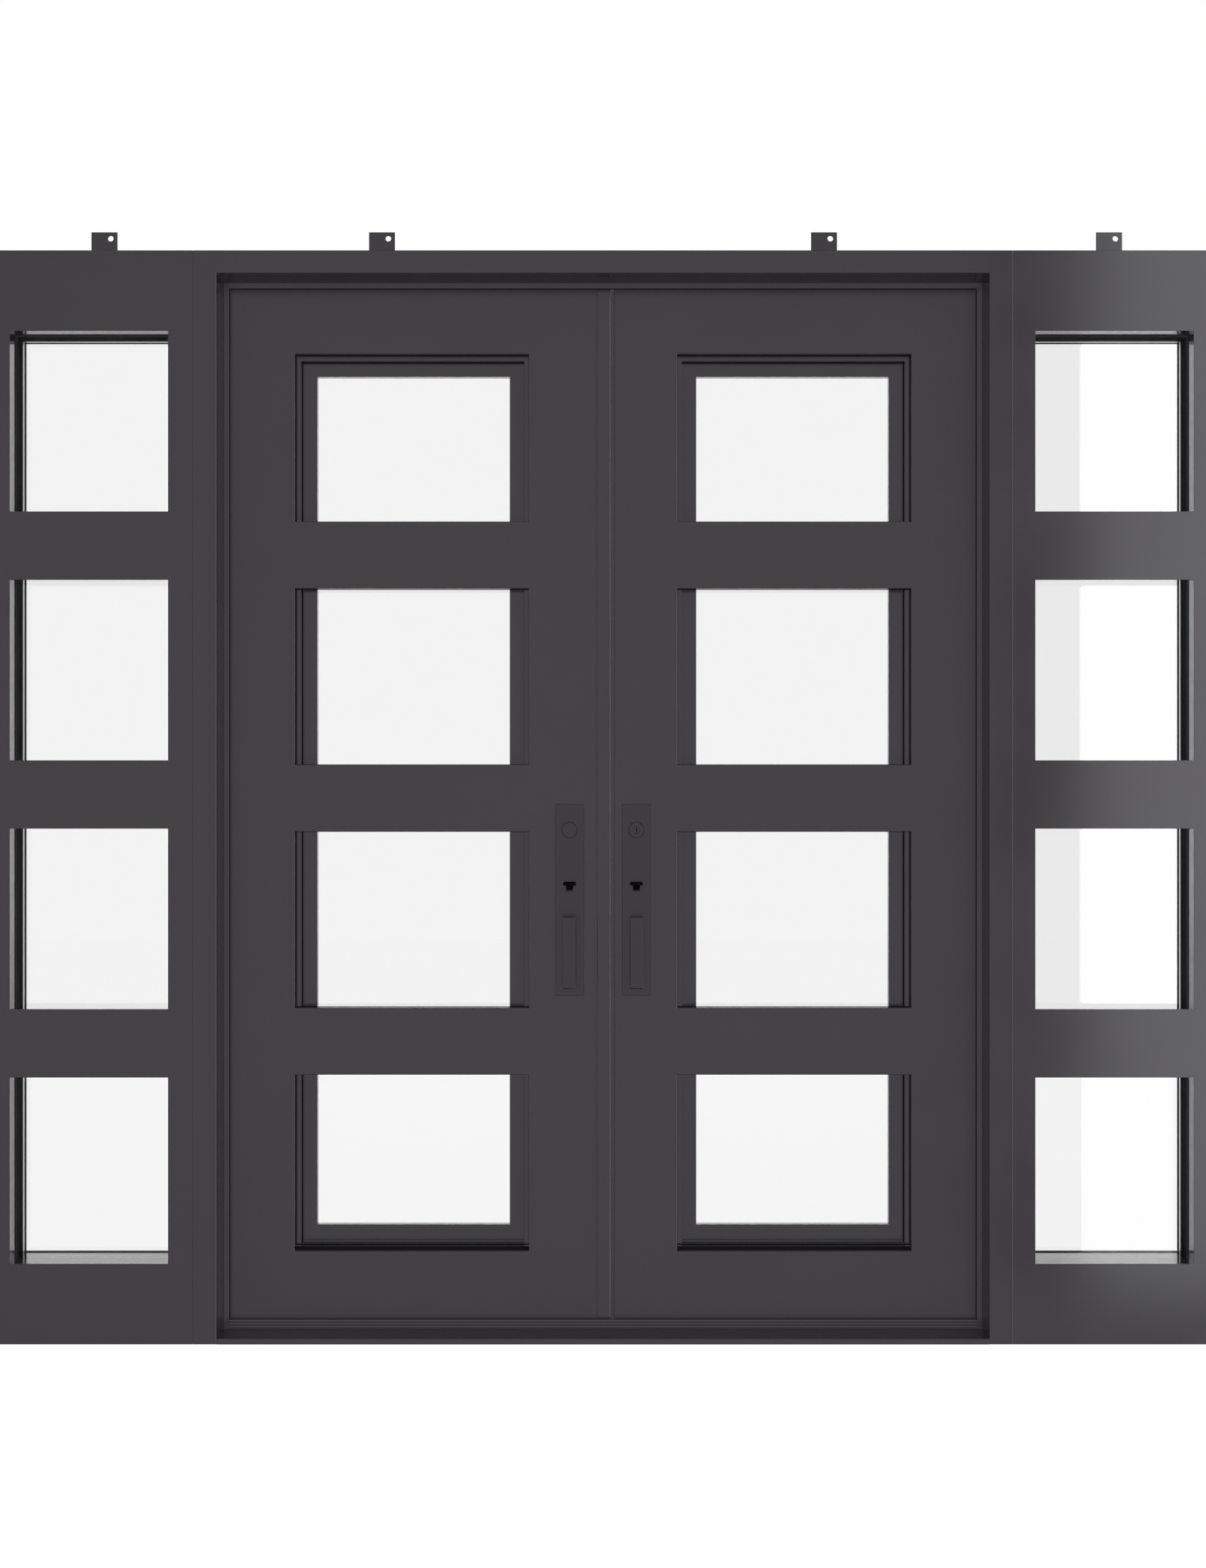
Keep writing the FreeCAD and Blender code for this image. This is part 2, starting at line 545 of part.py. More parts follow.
def edges_along(shape, axis, places):
    """Names of the straight edges along one axis (0, 1, 2) that pass the given places.

    A place is a pair of the other two coordinates.
    """
    others = [index for index in range(3) if index != axis]
    found = []
    for index, edge in enumerate(shape.Edges, start=1):
        start, end = edge.firstVertex().Point, edge.lastVertex().Point
        way = end - start
        if way.Length < 0.01 or abs(abs(way[axis]) - way.Length) > 0.01:
            continue
        middle = (start + end) / 2
        for place in places:
            if all(abs(middle[side] - want) < 0.02 for side, want in zip(others, place)):
                found.append("Edge%d" % index)
    return found


def rounded(name, base, groups):
    """Base with a radius on each group of edges, given as (edge names, formula)."""
    item = doc.addObject("Part::Fillet", name)
    item.Base = base
    item.Edges = [(int(edge[4:]), number(rule), number(rule)) for edges, rule in groups for edge in edges]
    return item


def pull_profile(name):
    """A pull handle in side view, from the plate outwards, padded to its width and rounded."""
    outline = [("0", "0"), ("grip_reach", "0"), ("grip_reach", "grip_height"), ("0", "grip_height"),
               ("0", "grip_height - grip_leg"), ("grip_reach - grip_thickness", "grip_height - grip_leg"),
               ("grip_reach - grip_thickness", "grip_leg"), ("0", "grip_leg")]
    body = profile(name, "YZ", [outline], "grip_width", midplane=True)
    reach, inside = number("grip_reach"), number("grip_reach - grip_thickness")
    low, high = number("grip_leg"), number("grip_height - grip_leg")
    for suffix, rule, places_found in (
            ("_round", "grip_round", [(reach, 0), (reach, number("grip_height"))]),
            ("_inner_round", "grip_inner_round", [(inside, low), (inside, high)])):
        base = body.Tip
        fillet = body.newObject("PartDesign::Fillet", name + suffix)
        fillet.Base = (base, edges_along(base.Shape, 0, places_found))
        bind(fillet, Radius=rule)
        doc.recompute()
    return body


def make_plate(side, centre):
    """Escutcheon with a chamfered face, the thumb slot, and ears behind it that hold the pivot pin."""
    half = "plate_width / 2"
    body = profile(side + "_plate", "XZ", [rectangle("-plate_width / 2", "0", half, "plate_height")],
                   "plate_thickness")
    base = body.Tip
    chamfer = body.newObject("PartDesign::Chamfer", side + "_plate_edge")
    front_face = [index for index, face in enumerate(base.Shape.Faces, start=1)
                  if abs(face.CenterOfMass.y + number("plate_thickness")) < 0.01]
    chamfer.Base = (base, ["Face%d" % front_face[0]])
    bind(chamfer, Size="plate_edge")
    doc.recompute()
    put(body, centre, "leaf_front", "plate_bottom")
    slot = [("-slot_width / 2", "slot_top"), ("-slot_width / 2", "slot_top - slot_bar"),
            ("-slot_stem_width / 2", "slot_top - slot_bar"),
            ("-slot_stem_width / 2", "slot_top - slot_height"),
            ("slot_stem_width / 2", "slot_top - slot_height"),
            ("slot_stem_width / 2", "slot_top - slot_bar"),
            ("slot_width / 2", "slot_top - slot_bar"), ("slot_width / 2", "slot_top")]
    punch = profile(side + "_slot_punch", "XZ", [slot], "2 * plate_thickness")
    put(punch, centre, "leaf_front + plate_thickness / 2", "0")
    slotted = cut(side + "_slotted_plate", body, punch)
    ear_place = "thumb_width / 2 + ear_gap"
    ears = [block("%s_ear_%d" % (side, index), "%s + %s" % (centre, place), "leaf_front",
                  "thumb_centre - thumb_boss_radius", "ear_thickness",
                  "thumb_pivot_depth + thumb_boss_radius", "2 * thumb_boss_radius")
            for index, place in enumerate((ear_place, "-(%s) - ear_thickness" % ear_place))]
    pin = rod(side + "_thumb_pin", "%s - (%s)" % (centre, ear_place), "thumb_pivot", "thumb_centre",
              "thumb_pin_radius", "2 * (%s)" % ear_place, "X")
    keep(side + "_escutcheon", join(side + "_escutcheon", [slotted] + ears + [pin]))


def make_thumb_piece(side, centre):
    """Thumb piece: a flange and a web in a T section that tapers to the tip, on a bored boss.

    The T is padded from the pivot to the tip. What lies inside the side view is kept: the flange
    runs level to the tip, and the web rises to meet it there.
    """
    length = "thumb_pivot - plate_front + thumb_reach"
    low = "-thumb_flange - thumb_web_height"
    tee = [("-thumb_width / 2", "0"), ("-thumb_width / 2", "-thumb_flange"),
           ("-thumb_web / 2", "-thumb_flange"), ("-thumb_web / 2", low),
           ("thumb_web / 2", low), ("thumb_web / 2", "-thumb_flange"),
           ("thumb_width / 2", "-thumb_flange"), ("thumb_width / 2", "0")]
    section = profile(side + "_thumb_tee", "XZ", [tee], length)
    side_view = [("0", "0"), ("0", low), ("-(thumb_pivot - plate_front) - thumb_flange", low),
                 ("-(%s)" % length, "-thumb_flange"), ("-(%s)" % length, "0")]
    taper = profile(side + "_thumb_side", "YZ", [side_view], "2 * thumb_width", midplane=True)
    kept = doc.addObject("Part::Common", side + "_thumb_taper")
    kept.Base = section
    kept.Tool = taper
    kept.Refine = True
    doc.recompute()
    tip, half = -number(length), number("thumb_width / 2")
    blank = rounded(side + "_thumb_rounded", kept, [
        (edges_along(kept.Shape, 2, [(-half, tip), (half, tip)]), "thumb_corner")])
    doc.recompute()
    nose = rounded(side + "_thumb_nose", blank, [
        (edges_along(blank.Shape, 0, [(tip, 0)]), "thumb_nose")])
    doc.recompute()
    put(nose, centre, "thumb_pivot", "thumb_top")
    boss = rod(side + "_thumb_boss", centre + " - thumb_width / 2", "thumb_pivot", "thumb_centre",
               "thumb_boss_radius", "thumb_width", "X")
    bore = rod(side + "_thumb_bore", centre + " - thumb_width", "thumb_pivot", "thumb_centre",
               "thumb_pin_radius + thumb_pin_clearance", "2 * thumb_width", "X")
    keep(side + "_thumb_piece", cut(side + "_thumb_piece", join(side + "_thumb_blank", [nose, boss]), bore))


def make_cylinder(side, centre):
    """Collar flush round the plug; the right one has a groove round its plug and a plain keyway."""
    height = "plate_top - cylinder_drop"
    face = "plate_front - cylinder_height"
    collar = rod(side + "_collar", centre, face, height, "cylinder_radius", "cylinder_height", "Y")
    if side == "right":
        ring = cut("plug_ring", rod("groove_outer", centre, face + " - groove_depth", height,
                                    "plug_radius + plug_groove", "2 * groove_depth", "Y"),
                   rod("groove_inner", centre, face + " - groove_depth", height,
                       "plug_radius", "2 * groove_depth", "Y"))
        keyway = block("keyway", centre + " - keyway_width / 2", face + " - keyway_depth",
                       height + " - keyway_height / 2", "keyway_width", "2 * keyway_depth", "keyway_height")
        collar = cut("keyed_collar", collar, group("cylinder_cuts", [ring, keyway]))
    keep(side + "_cylinder", collar)


def make_hardware(side):
    """Escutcheon, cylinder, thumb piece, pull, and the plate indoors with its pull."""
    centre = "-plate_place" if side == "left" else "plate_place"
    make_plate(side, centre)
    make_thumb_piece(side, centre)
    make_cylinder(side, centre)
    pull = pull_profile(side + "_pull")
    pull.Placement = FreeCAD.Placement(vector(), FreeCAD.Rotation(vector(0, 0, 1), 180))
    keep(side + "_pull", put(pull, centre, "plate_front", "plate_bottom + grip_rise"))

    inner_plate = block(side + "_inner_plate", centre + " - plate_width / 2", "back", "plate_bottom",
                        "plate_width", "plate_thickness", "plate_height")
    inner_pull = put(pull_profile(side + "_inner_pull"), centre, "back + plate_thickness",
                     "plate_bottom + grip_rise")
    parts = [inner_plate, inner_pull]
    if side == "right":
        height = "plate_top - cylinder_drop"
        collar = rod("turn_collar", centre, "back + plate_thickness", height,
                     "cylinder_radius", "cylinder_height", "Y")
        turn = block("turn_grip", centre + " - turn_width / 2", "back + plate_thickness",
                     height + " - turn_length / 2", "turn_width", "turn_reach", "turn_length")
        parts += [collar, turn]
    keep(side + "_inner_trim", join(side + "_inner_trim", parts))


def make_meeting():
    """Astragal on the left leaf and the brush strip on the right leaf's meeting edge."""
    low = "upstand_top + astragal_clearance"
    high = "head_under - stop_cover - astragal_clearance"
    edge = "meeting_offset - astragal_width"
    face = "leaf_front - astragal_thickness"
    outline = [(edge, "leaf_front"), (edge, face + " + edge_break"), (edge + " + edge_break", face),
               ("meeting_offset - edge_break", face), ("meeting_offset", face + " + edge_break"),
               ("meeting_offset", "leaf_front")]
    astragal = profile("astragal", "XY", [outline], "(%s) - (%s)" % (high, low))
    keep("astragal", put(astragal, "0", "0", low))
    keep("meeting_seal", block("meeting_seal", "right_meeting - meeting_seal_width", "leaf_front",
                               "leaf_bottom", "meeting_seal_width", "meeting_seal_depth", "leaf_height"))


def check(items):
    """Stop when any object failed or any piece is empty or faulty."""
    for item in doc.Objects:
        if "Invalid" in item.State or "Error" in item.State:
            raise RuntimeError("%s failed: %s" % (item.Label, item.State))
    for name, item in items.items():
        if item.Shape.isNull() or not item.Shape.isValid() or not item.Shape.Solids:
            raise RuntimeError("%s has no sound solid" % name)


make_frame()
make_tabs()
make_sidelight("left", "-half_unit - sidelight_width")
make_sidelight("right", "half_unit")
make_leaf("left", "-meeting_offset")
make_leaf("right", "right_meeting")
make_hinges("left")
make_hinges("right")
make_hardware("left")
make_hardware("right")
make_meeting()
doc.recompute()
check(nodes)
os.makedirs("parts", exist_ok=True)
for name, item in nodes.items():
    item.Shape.exportStep("parts/%s.step" % name)
    box = item.Shape.BoundBox
    print("%-26s %2d solids  x %8.1f %8.1f  y %7.1f %7.1f  z %7.1f %7.1f" % (
        name, len(item.Shape.Solids), box.XMin, box.XMax, box.YMin, box.YMax, box.ZMin, box.ZMax))
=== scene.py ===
"""Looks of a steel entry door with two glazed leaves and a fixed sidelight on each side.

The packed frame gives every place and size. Welded and ground steelwork is drawn as one piece,
so that no joint shows where the real one has none, and the glass is drawn as two-sheet units.
"""
import math

import bpy
import numpy as np
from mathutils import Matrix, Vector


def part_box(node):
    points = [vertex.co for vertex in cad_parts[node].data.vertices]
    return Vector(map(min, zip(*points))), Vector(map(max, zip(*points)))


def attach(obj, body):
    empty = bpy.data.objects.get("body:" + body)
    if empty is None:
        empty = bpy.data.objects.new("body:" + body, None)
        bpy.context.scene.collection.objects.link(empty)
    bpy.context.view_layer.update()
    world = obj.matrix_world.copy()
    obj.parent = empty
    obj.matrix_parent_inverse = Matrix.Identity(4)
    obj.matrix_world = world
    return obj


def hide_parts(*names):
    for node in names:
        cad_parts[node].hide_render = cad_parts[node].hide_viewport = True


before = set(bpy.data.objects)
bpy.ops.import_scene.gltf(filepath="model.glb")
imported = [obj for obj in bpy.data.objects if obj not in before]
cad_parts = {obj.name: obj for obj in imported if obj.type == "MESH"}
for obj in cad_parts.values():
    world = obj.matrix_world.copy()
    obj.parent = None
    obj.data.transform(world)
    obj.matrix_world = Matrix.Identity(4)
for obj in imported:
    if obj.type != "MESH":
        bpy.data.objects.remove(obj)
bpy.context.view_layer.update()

bl_info = {
    "name": "Door with Sidelights",
    "version": (1, 0, 0),
    "blender": (4, 5, 0),
    "location": "View3D > Sidebar > Door",
    "description": "Steelwork, glass, seals, hardware and studio of a door with sidelights",
    "category": "Object",
}

MM = 0.001
SIDES = ("left", "right")
FRONT = -0.0762  # y of the frame's front face
EYE_LEVEL = 1.2192  # half the frame's height
EYE_AWAY = 4.852  # from the front face to the camera
STUDIO_AWAY = 4.95  # from the origin to the lamp and the screen


def linear(hex_colour):
    """sRGB hex to linear RGBA: c / 12.92 below 0.04045, else ((c + 0.055) / 1.055) ** 2.4."""
    channels = [int(hex_colour[i:i + 2], 16) / 255 for i in (1, 3, 5)]
    return tuple(c / 12.92 if c <= 0.04045 else ((c + 0.055) / 1.055) ** 2.4
                 for c in channels) + (1.0,)


def add(tree, kind, links=None, **settings):
    """Add one node, set its properties or its sockets by name, and link its inputs."""
    node = tree.nodes.new(kind)
    for key, value in settings.items():
        if hasattr(node, key):
            setattr(node, key, value)
        else:
            node.inputs[key.replace("_", " ")].default_value = value
    for socket, source in (links or {}).items():
        tree.links.new(source, node.inputs[socket])
    return node


def material(name):
    """An empty material with its tree, its shader and Object coordinates."""
    made = bpy.data.materials.new(name)
    made.use_nodes = True
    tree = made.node_tree
    tree.nodes.clear()
    place = add(tree, "ShaderNodeTexCoord").outputs["Object"]
    shader = add(tree, "ShaderNodeBsdfPrincipled")
    add(tree, "ShaderNodeOutputMaterial", {"Surface": shader.outputs["BSDF"]})
    return made, tree, shader, place


def blotches(tree, place, size_mm, **settings):
    """Soft noise whose blotches measure about size_mm across, as a value from 0 to 1."""
    noise = add(tree, "ShaderNodeTexNoise", {"Vector": place}, Scale=1 / (size_mm * MM),
                **settings)
    return noise.outputs["Fac"]


def spread(tree, value, low, high):
    """A noise value, gathered round one half, spread out between two numbers."""
    return add(tree, "ShaderNodeMapRange", {"Value": value}, From_Min=0.3, From_Max=0.7,
               To_Min=low, To_Max=high).outputs["Result"]


def two_tone(tree, value, first, second):
    """A colour between two others, by a noise value."""
    mix = add(tree, "ShaderNodeMix", data_type="RGBA")
    tree.links.new(spread(tree, value, 0.0, 1.0), mix.inputs["Factor"])
    mix.inputs["A"].default_value = first
    mix.inputs["B"].default_value = second
    return mix.outputs["Result"]


def shade(colour, factor):
    """A colour made lighter or darker by a factor."""
    return tuple(c * factor for c in colour[:3]) + (1.0,)


def stain(tree, shader, value, colour, low, high):
    """Let a noise value take the base colour from low to high times the given one."""
    tree.links.new(two_tone(tree, value, shade(colour, low), shade(colour, high)),
                   shader.inputs["Base Color"])


def roughen(tree, shader, value, low, high):
    """Let a noise value take the roughness from low to high."""
    tree.links.new(spread(tree, value, low, high), shader.inputs["Roughness"])


def emboss(tree, shader, value, strength, depth_mm):
    """Let a noise value raise a fine relief."""
    bump = add(tree, "ShaderNodeBump", {"Height": value}, Strength=strength,
               Distance=depth_mm * MM)
    tree.links.new(bump.outputs["Normal"], shader.inputs["Normal"])


def powder_coated_steel(name, colour, pebble_mm, roughness):
    """Sheet steel with a baked polyester powder coat.

    The powder flows out to a satin skin of fine pebbles, which keeps flat faces even and breaks
    up what they reflect at a low angle. Real pebbles are near 1 mm; they are drawn wider so that
    they still show at arm's length. Slow cloudiness comes from the varying film thickness.
    """
    made, tree, shader, place = material(name)
    cloud = blotches(tree, place, 260, Detail=2.0)
    pebble = blotches(tree, place, pebble_mm, Detail=2.0, Roughness=0.6)
    stain(tree, shader, cloud, colour, 0.96, 1.04)
    roughen(tree, shader, cloud, roughness - 0.02, roughness + 0.02)
    emboss(tree, shader, pebble, 0.5, 0.02)
    return made


def extruded_rubber(name, colour):
    """EPDM rubber pushed through a die: dead matt black with faint draw lines along its length."""
    made, tree, shader, place = material(name)
    stretch = add(tree, "ShaderNodeMapping", {"Vector": place}, Scale=(1.0, 1.0, 0.02))
    lines = blotches(tree, stretch.outputs["Vector"], 1.5, Detail=3.0)
    stain(tree, shader, lines, colour, 0.8, 1.25)
    roughen(tree, shader, lines, 0.72, 0.84)
    emboss(tree, shader, lines, 0.3, 0.05)
    shader.inputs["Specular IOR Level"].default_value = 0.02
    return made


def pile_fibre(name, colour):
    """Woven pile of a brush seal: fine fibres, drawn 1 mm apart, that scatter light softly."""
    made, tree, shader, place = material(name)
    stretch = add(tree, "ShaderNodeMapping", {"Vector": place}, Scale=(0.08, 0.08, 1.0))
    fibres = blotches(tree, stretch.outputs["Vector"], 1.0, Detail=2.0)
    stain(tree, shader, fibres, colour, 0.85, 1.15)
    emboss(tree, shader, fibres, 0.8, 0.3)
    shader.inputs["Roughness"].default_value = 0.95
    shader.inputs["Specular IOR Level"].default_value = 0.1
    shader.inputs["Sheen Weight"].default_value = 0.2
    return made


def float_glass(name, tint):
    """Clear float glass: mirror smooth, almost untinted, with a faint roller wave 200 mm long."""
    made, tree, shader, place = material(name)
    wave = blotches(tree, place, 200, Detail=0.0)
    emboss(tree, shader, wave, 0.05, 0.01)
    shader.inputs["Base Color"].default_value = tint
    shader.inputs["Roughness"].default_value = 0.0
    shader.inputs["IOR"].default_value = 1.5
    shader.inputs["Transmission Weight"].default_value = 1.0
    return made


def sealant_and_shade_finish(name, colour):
    """Black sealant drawn smooth along a corner: dull, with slow ripples from the tool; it also
    serves as painted shade.
    """
    made, tree, shader, place = material(name)
    ripple = blotches(tree, place, 12, Detail=1.0)
    stain(tree, shader, ripple, colour, 0.8, 1.2)
    emboss(tree, shader, ripple, 0.3, 0.1)
    shader.inputs["Roughness"].default_value = 0.7
    shader.inputs["Specular IOR Level"].default_value = 0.02
    return made


def reflection_strip_metal(name, colour):
    """Soft metallic shine drawn out along its length: bright metal used as a painted reflection."""
    made, tree, shader, place = material(name)
    stretch = add(tree, "ShaderNodeMapping", {"Vector": place}, Scale=(1.0, 1.0, 0.01))
    lines = blotches(tree, stretch.outputs["Vector"], 1.0, Detail=2.0)
    stain(tree, shader, lines, colour, 0.9, 1.1)
    roughen(tree, shader, lines, 0.35, 0.45)
    shader.inputs["Metallic"].default_value = 1.0
    return made


def black_oxide(name, colour):
    """Cast lever in black oxide under dry wax: dead matt, with slight flow marks."""
    made, tree, shader, place = material(name)
    flow = blotches(tree, place, 6, Detail=3.0)
    stain(tree, shader, flow, colour, 0.85, 1.15)
    roughen(tree, shader, flow, 0.5, 0.6)
    emboss(tree, shader, flow, 0.2, 0.05)
    shader.inputs["Specular IOR Level"].default_value = 0.02
    return made


def surface(name, points, faces, finish, body, slot=None, smooth=True):
    """A mesh object at the origin from points and faces, riding on a body."""
    mesh = bpy.data.meshes.new(name)
    mesh.from_pydata(np.asarray(points, float).tolist(), [], faces)
    mesh.materials.append(finish)
    mesh.polygons.foreach_set("use_smooth", np.full(len(mesh.polygons), smooth))
    mesh.update()
    made = bpy.data.objects.new(name, mesh)
    bpy.context.scene.collection.objects.link(made)
    if body:
        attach(made, body)
    return made


def lattice(filled, emptied=()):
    """Points and faces round the union of some boxes less some others.

    The planes of all the boxes cut space into cells. A cell is solid if its centre lies in a
    filled box and in no emptied one, and a face stands wherever solid meets empty. Boxes are
    (x0, x1, y0, y1, z0, z1).
    """
    filled = np.array(filled, float).reshape(-1, 3, 2)
    emptied = np.array(emptied, float).reshape(-1, 3, 2)
    both = np.round(np.concatenate([filled, emptied]), 6)
    planes = [np.unique(both[:, axis]) for axis in range(3)]
    middles = np.stack(np.meshgrid(*[(p[1:] + p[:-1]) / 2 for p in planes], indexing="ij"), -1)

    def within(boxes):
        cells = middles[None]
        low, high = boxes[:, None, None, None, :, 0], boxes[:, None, None, None, :, 1]
        return ((cells > low) & (cells < high)).all(-1).any(0)

    solid = np.pad(within(filled) & ~within(emptied), 1).astype(np.int8)
    counts = [len(p) for p in planes]
    faces = []
    for axis in range(3):
        others = [a for a in range(3) if a != axis]
        step = np.diff(solid, axis=axis)
        trim = [slice(1, -1)] * 3
        trim[axis] = slice(None)
        step = step[tuple(trim)]
        for sign in (1, -1):
            cells = np.argwhere(step == sign)
            corners = np.repeat(cells[:, None], 4, axis=1)
            corners[:, :, others[0]] += [0, 1, 1, 0]
            corners[:, :, others[1]] += [0, 0, 1, 1]
            turned = (sign == 1) != (axis == 1)
            faces.append(corners[:, ::-1] if turned else corners)
    faces = np.concatenate(faces)
    flat = np.ravel_multi_index(faces.reshape(-1, 3).T, counts)
    used, index = np.unique(flat, return_inverse=True)
    at = np.stack(np.unravel_index(used, counts), -1)
    points = np.stack([planes[axis][at[:, axis]] for axis in range(3)], -1)
    return points, index.reshape(-1, 4).tolist()


def prism(outline, foot, head):
    """Points and faces of an upright bar: an outline in x and y, anticlockwise, from foot to head.

    Each end is closed by a fan of triangles round its middle point.
    """
    count = len(outline)
    level = np.vstack([outline, np.mean(outline, 0)])
    points = np.concatenate([np.column_stack([level, np.full(count + 1, height)])
                             for height in (foot, head)])
    step, up = np.arange(count), count + 1
    after, middle = (step + 1) % count, np.full(count, count)
    sides = np.stack([step, after, after + up, step + up], 1)
    fans = np.concatenate([np.stack([after, step, middle], 1),
                           np.stack([step, after, middle], 1) + up])
    return points, sides.tolist() + fans.tolist()


def moulding(profile, corners):
    """Points and faces of a profile carried straight from each corner to the next.

    The profile is a closed outline of insets from the corner and places front to back,
    anticlockwise with the inset drawn to the right. A corner is (x, way, z, rise): an inset
    moves its point along x by way and along z by rise, which mitres the turns.
    """
    inset, depth = np.asarray(profile, float).T
    x, way, z, rise = np.asarray(corners, float).T[:, :, None]
    points = np.stack(np.broadcast_arrays(x + way * inset, depth, z + rise * inset), -1)
    legs, count = len(corners) - 1, len(profile)
    leg, place = np.indices((legs, count))
    here, after = leg * count + place, leg * count + (place + 1) % count
    sides = np.stack([here, after, after + count, here + count], -1).reshape(-1, 4)
    first = list(range(count))
    ends = [first[::-1], [place + legs * count for place in first]]
    return points.reshape(-1, 3), sides.tolist() + ends


def surround(x0, x1, foot, head):
    """Corners of a moulding up one side, across the head and down the other."""
    return [(x0, 1, foot, 0), (x0, 1, head, -1), (x1, -1, head, -1), (x1, -1, foot, 0)]


def hoop(radius, thick, centre, count=48, around=8):
    """Points and faces of a ring about the y axis: a circle of half the thickness swept round."""
    sweep, roll = np.meshgrid(np.arange(count), np.arange(around), indexing="ij")
    turn, tilt = 2 * math.pi * sweep / count, 2 * math.pi * roll / around
    reach = radius + thick / 2 * np.cos(tilt)
    points = np.stack([centre[0] + reach * np.cos(turn), centre[1] + thick / 2 * np.sin(tilt),
                       centre[2] + reach * np.sin(turn)], -1).reshape(-1, 3)

    def number(i, j):
        return (i % count) * around + j % around

    quads = np.stack([number(sweep, roll), number(sweep, roll + 1),
                      number(sweep + 1, roll + 1), number(sweep + 1, roll)], -1)
    return points, quads.reshape(-1, 4).tolist()


def soften(made, radius, cad=False):
    """Round the sharp edges of a piece. A CAD mesh is loose triangles, so it is joined up first."""
    if cad:
        made.modifiers.new("join", "WELD").merge_threshold = 0.005 * MM
        flat = made.modifiers.new("flats", "DECIMATE")
        flat.decimate_type = "DISSOLVE"
        flat.angle_limit = math.radians(1)
    bevel = made.modifiers.new("edges", "BEVEL")
    bevel.width = radius
    bevel.segments = 2
    bevel.limit_method = "ANGLE"
    bevel.angle_limit = math.radians(40)
    bevel.use_clamp_overlap = True
    bevel.harden_normals = True
    return made


def dress(nodes, finish):
    """Give CAD nodes a finish."""
    for name in nodes:
        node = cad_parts[name]
        node.data.materials.clear()
        node.data.materials.append(finish)


def box_of(name):
    """Box of a CAD node as x0, x1, y0, y1, z0, z1."""
    low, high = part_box(name)
    return low.x, high.x, low.y, high.y, low.z, high.z


def ring(outer, left, right, foot, head):
    """Four boxes round an opening, as wide and deep as the outer box."""
    x0, x1, y0, y1, z0, z1 = outer
    return [(x0, left, y0, y1, z0, z1), (right, x1, y0, y1, z0, z1),
            (left, right, y0, y1, z0, foot), (left, right, y0, y1, head, z1)]


def crossbars(name, height, step=0.0):
    """Boxes of three evenly spaced bars that fill a CAD node's box, less a step off its front."""
    x0, x1, y0, y1, z0, z1 = box_of(name)
    feet = [z0 + (z1 - z0 - height) / 2 * place for place in range(3)]
    return [(x0, x1, y0 + step, y1, foot, foot + height) for foot in feet]


def made_once(kind, name, *values):
    """A finish by name, made the first time that it is asked for."""
    return bpy.data.materials.get(name) or kind(name, *values)


def steel(kind="steel"):
    """Finish of the steelwork, of its stops in a lighter copy that is painted light, or of its
    fittings.
    """
    look = bpy.context.scene.door_steel
    tone, pebble = {"steel": (look.colour, look.pebble), "bar_stock": (look.stops, look.pebble),
                    "fittings": (look.fittings, look.fine_pebble)}[kind]
    return made_once(powder_coated_steel, "powder_coated_" + kind, tuple(tone), pebble / MM,
                     look.roughness)


def sealant_and_painted_shade():
    """Finish of the sealant in corners, which also paints their shade, and of the painted shade
    along the stops.
    """
    look = bpy.context.scene.door_seals
    return made_once(sealant_and_shade_finish, "tooled_black_sealant", tuple(look.bead))


def length(label, text, default):
    """A property that holds a length in metres."""
    return bpy.props.FloatProperty(name=label, description=text, default=default, min=0.0,
                                   subtype="DISTANCE", unit="LENGTH", precision=5)


def colour(label, text, hex_colour):
    """A property that holds a colour."""
    return bpy.props.FloatVectorProperty(name=label, description=text,
                                         default=linear(hex_colour)[:3], size=3, min=0.0,
                                         max=1.0, subtype="COLOR")


def factor(label, text, default, high=1.0):
    """A property that holds a plain number."""
    return bpy.props.FloatProperty(name=label, description=text, default=default, min=0.0,
                                   max=high)


class SteelSettings(bpy.types.PropertyGroup):
    """Sizes and colour of the coated steelwork."""
    colour: colour("Paint", "Colour of the baked powder coat", "#302D32")
    fittings: colour("Fittings", "Colour of the coat on plates, pulls and hinges", "#272228")
    # Painted light: a lighter copy of the coat, making up for the reflection that the frame's
    # reveal keeps off the stops.
    stops: colour("Stops", "Colour of the coat on the stop bars", "#3C383E")
    stop: length("Stop width", "How far the stops stand in from jambs and head", 12.7 * MM)
    ridge: length("Ridge height", "Height of the ridges on stops and upstand", 0.35 * MM)
    roughness: factor("Roughness", "How much the coat spreads its reflections", 0.16)
    pebble: length("Pebble", "Width of the pebbles in the coat", 2.5 * MM)
    fine_pebble: length("Fine pebble", "Width of the pebbles on plates and hinges", 0.8 * MM)
    edge: length("Edge radius", "Rounding of the edges of frame and leaves", 1.5 * MM)
    side_edge: length("Sidelight edge", "Rounding of the sidelights' edges", 0.5 * MM)
    strip_edge: length("Astragal edge", "Rounding of the astragal's edges", 1.0 * MM)
    fine_edge: length("Fitting edge", "Rounding of the fittings' edges", 0.4 * MM)
    step: length("Step", "How far the sidelights' face stands behind the frame's", 1.0 * MM)
    bar: length("Bar height", "Height of the horizontal glazing bars", 152.4 * MM)
    pocket: length("Pocket depth", "Pocket for the thumb piece behind its plate", 26.0 * MM)
    pocket_side: length("Pocket side", "Room in the pocket beside the thumb piece", 4.8 * MM)
    pocket_reach: length("Pocket reach", "From the pocket's middle to its top", 20.0 * MM)


class GlassSettings(bpy.types.PropertyGroup):
    """Sizes and tint of the glass."""
    tint: colour("Tint", "Colour of one sheet of glass", "#FAFAFA")
    leaf_sheet: length("Leaf sheet", "Thickness of one sheet in a leaf", 3.0 * MM)
    side_sheet: length("Sidelight sheet", "Thickness of one sheet in a sidelight", 4.0 * MM)
    bite: length("Bite", "How far the glass reaches into whatever holds it", 1.5 * MM)


